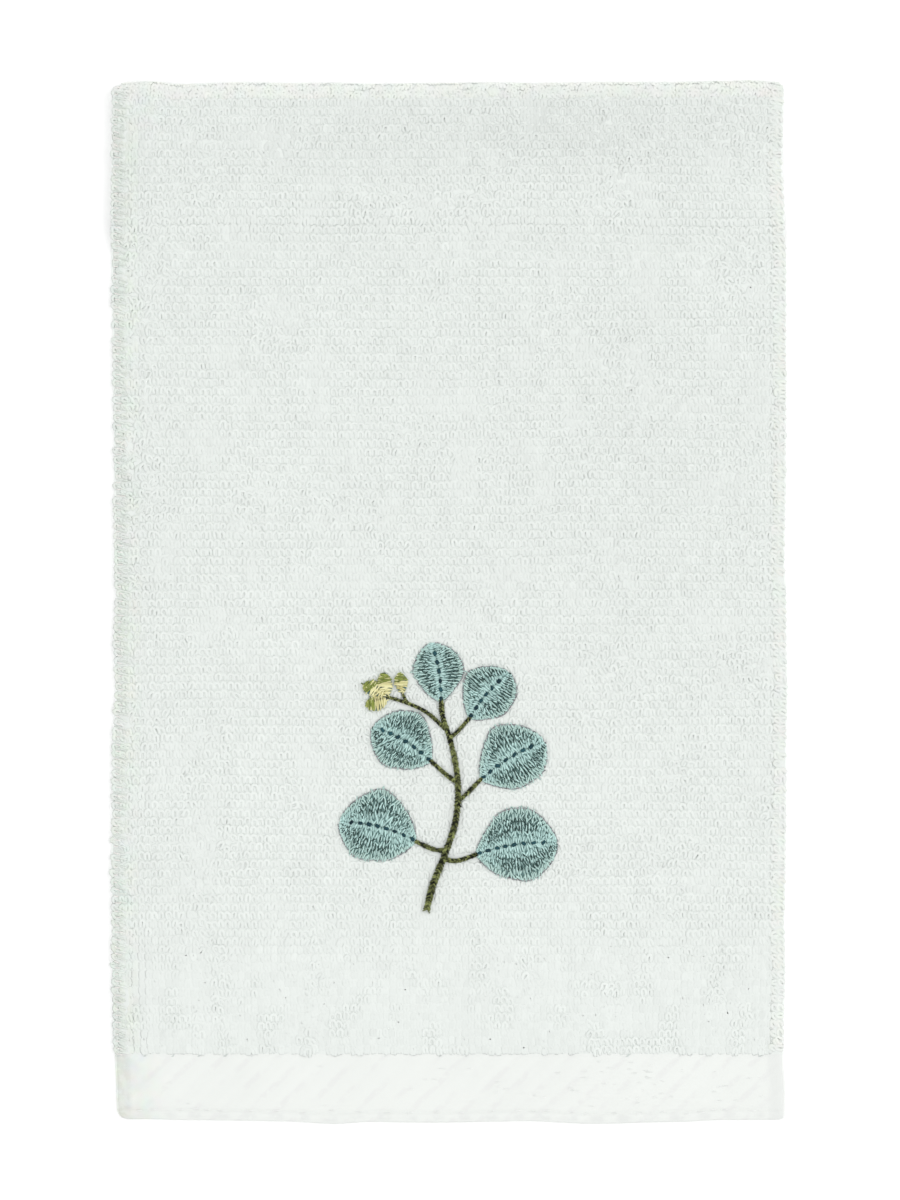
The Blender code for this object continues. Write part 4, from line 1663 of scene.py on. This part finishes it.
def band_colour(tree, woven):
    """The band: broken painted shade in the grooves between its ribs, and shaded lozenges along its turned hem.
    """
    broken = times(tree, ramp(tree, woven.uneven, 0.36, 0.60), ramp(tree, woven.fine, 0.30, 0.55))
    groove_shade = times(tree, ramp(tree, woven.ribs, -0.2, -1.0), broken)
    band = mix_colours(tree, groove_shade, BAND, BAND_GROOVE_SHADE)
    from_middle = math_node(tree, "ABSOLUTE", minus(tree, woven.from_hem, HEM_MIDDLE))
    lozenge = times(tree, ramp(tree, from_middle, 0.0032, 0.0004), ramp(tree, woven.hem_ribs, -0.6, 0.9))
    shade = times(tree, lozenge, ramp(tree, woven.fine, 0.25, 0.60))
    return mix_colours(tree, shade, band, HEM_SHADE)


def band_ends(tree, woven, band):
    """The band's colour with its patchy left end and its shaded right end."""
    patchy = mix_colours(tree, ramp(tree, woven.fine, 0.42, 0.60), BAND_SIDE, BAND_SIDE_PATCH)
    patches = plus(tree, times(tree, ramp(tree, woven.uneven, 0.55, 0.40), 0.42), 0.42)
    inner_side = times(tree, ramp(tree, woven.from_left, *LEFT_PATCHES), patches)
    band = mix_colours(tree, inner_side, band, BAND_SIDE_PATCH)
    band = mix_colours(tree, ramp(tree, woven.from_left, *LEFT_RIM), band, patchy)
    right = times(tree, ramp(tree, woven.from_left, *RIGHT_SHADE), RIGHT_SHADE_SHARE)
    band = mix_colours(tree, right, band, HEM_SHADE)
    amount = times(tree, ramp(tree, woven.from_left, *LEFT_DRIFT), BAND_DRIFT)
    return use_group(
        tree, DRIFT, {"Colour": band, "Place": woven.place, "Size": BAND_DRIFT_SIZE, "Amount": amount})


def add_ground(tree, woven, band):
    """The band's colour, the pile's ground beyond it, and painted shade in the nicks where they meet between
    the ribs.
    """
    from_pile = math_node(tree, "ABSOLUTE", minus(tree, woven.from_hem, PILE_START))
    # Painted shade in the nicks between the arches of the pile's edge.
    nick = times(tree, ramp(tree, from_pile, 0.0013, 0.0007), ramp(tree, woven.ribs, -0.90, -0.99))
    nick = times(tree, nick, ramp(tree, woven.uneven, 0.48, 0.56))
    on_pile = ramp(tree, woven.from_hem, PILE_START + 0.0004, PILE_START + 0.0012)
    return mix_colours(tree, nick, mix_colours(tree, on_pile, band, GROUND), NICK_SHADE)


def rim_painted_light(tree, woven):
    """How much lighter the cloth is painted, as painted light, by the distance from its nearest rim."""
    from_edge = math_node(tree, "MINIMUM", woven.from_left, woven.from_hem)
    from_right = minus(tree, CLOTH_WIDTH + 0.0005, woven.from_left)
    from_edge = math_node(tree, "MINIMUM", from_edge, from_right)
    return times(tree, ramp(tree, from_edge, RIM_REACH, 0.0), RIM_PAINTED_LIGHT)


def woven_height(tree, woven):
    """The height of the weave and its fibres, rougher along the oversewn left edge."""
    inputs = {"Vector": woven.place, "Scale": 1 / WEAVE_PITCH}
    weave = node(tree, "ShaderNodeTexChecker", inputs).outputs["Fac"]
    fibre = use_group(tree, FIBRE, {"Place": woven.place, "Size": 0.0007})
    height = plus(tree, times(tree, weave, 0.35), fibre)
    rough = times(tree, noise_mask(tree, woven.place, 0.0016), 3.0)
    return plus(tree, height, times(tree, ramp(tree, woven.from_left, *LEFT_RIM), rough))


def cloth_material():
    """The woven ground and band."""
    material, tree, shader = new_material("terry ground and band")
    woven = woven_places(tree)
    colour = add_ground(tree, woven, band_ends(tree, woven, band_colour(tree, woven)))
    # The rim's painted light goes in as the mottling's tone.
    colour = mottled(tree, colour, woven.place, rim_painted_light(tree, woven))
    tree.links.new(colour, shader.inputs["Base Color"])
    bump(tree, shader, woven_height(tree, woven), 0.00020, 0.5)
    shader.inputs["Roughness"].default_value = 0.9
    shader.inputs["Specular IOR Level"].default_value = 0.2
    return material


# ---- Floor, light and camera --------------------------------------------------------------------------

KEY_PLACE = (3.3, 0.9, 2.8)
KEY_SIZE = 2.4
KEY_POWER = 30.0
WORLD_STRENGTH = 1.10
FLOOR_GAP = 0.0002
FLOOR_WHITE = (0.97, 0.97, 0.97, 1.0)


def make_floor():
    """The white surface that the towel lies on, a hair below it."""
    mesh = bmesh.new()
    bmesh.ops.create_grid(mesh, x_segments=1, y_segments=1, size=2.0)
    data = bpy.data.meshes.new("floor")
    mesh.to_mesh(data)
    mesh.free()
    material, _, shader = new_material("white floor")
    shader.inputs["Base Color"].default_value = FLOOR_WHITE
    shader.inputs["Roughness"].default_value = 1.0
    shader.inputs["Specular IOR Level"].default_value = 0.0
    data.materials.append(material)
    floor = add_object("floor", data)
    floor.location.z = -FLOOR_GAP


def make_light():
    """An even white sky, and a large soft light from the right."""
    world = bpy.context.scene.world or bpy.data.worlds.new("studio")
    bpy.context.scene.world = world
    world.use_nodes = True
    background = world.node_tree.nodes["Background"]
    background.inputs["Color"].default_value = (1.0, 1.0, 1.0, 1.0)
    background.inputs["Strength"].default_value = WORLD_STRENGTH
    data = bpy.data.lights.new("key", "AREA")
    data.shape = "DISK"
    data.size = KEY_SIZE
    data.energy = KEY_POWER
    key = add_object("key", data)
    key.location = KEY_PLACE
    key.rotation_euler = (-key.location).to_track_quat("-Z", "Y").to_euler()


# The camera looks straight down. Its picture covers this length of the towel's face, top to bottom.
PICTURE_LENGTH = 0.7248
PICTURE_MIDDLE = (0.0003, 0.0014)
LENS = 85.0
SENSOR = 36.0


def make_camera():
    """The camera, right above the towel."""
    data = bpy.data.cameras.new("camera")
    data.lens = LENS
    data.sensor_width = SENSOR
    camera = add_object("camera", data)
    height = PICTURE_LENGTH * LENS / SENSOR
    camera.location = (*PICTURE_MIDDLE, PILE_THICKNESS + height)
    bpy.context.scene.camera = camera


make_camera()
make_floor()
make_light()
bpy.context.scene.view_settings.view_transform = "Standard"
cloth = make_cloth(cloth_material())
added = make_pile(pile_material()) + make_sewing() + make_sprig()
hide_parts(CLOTH_NODE)
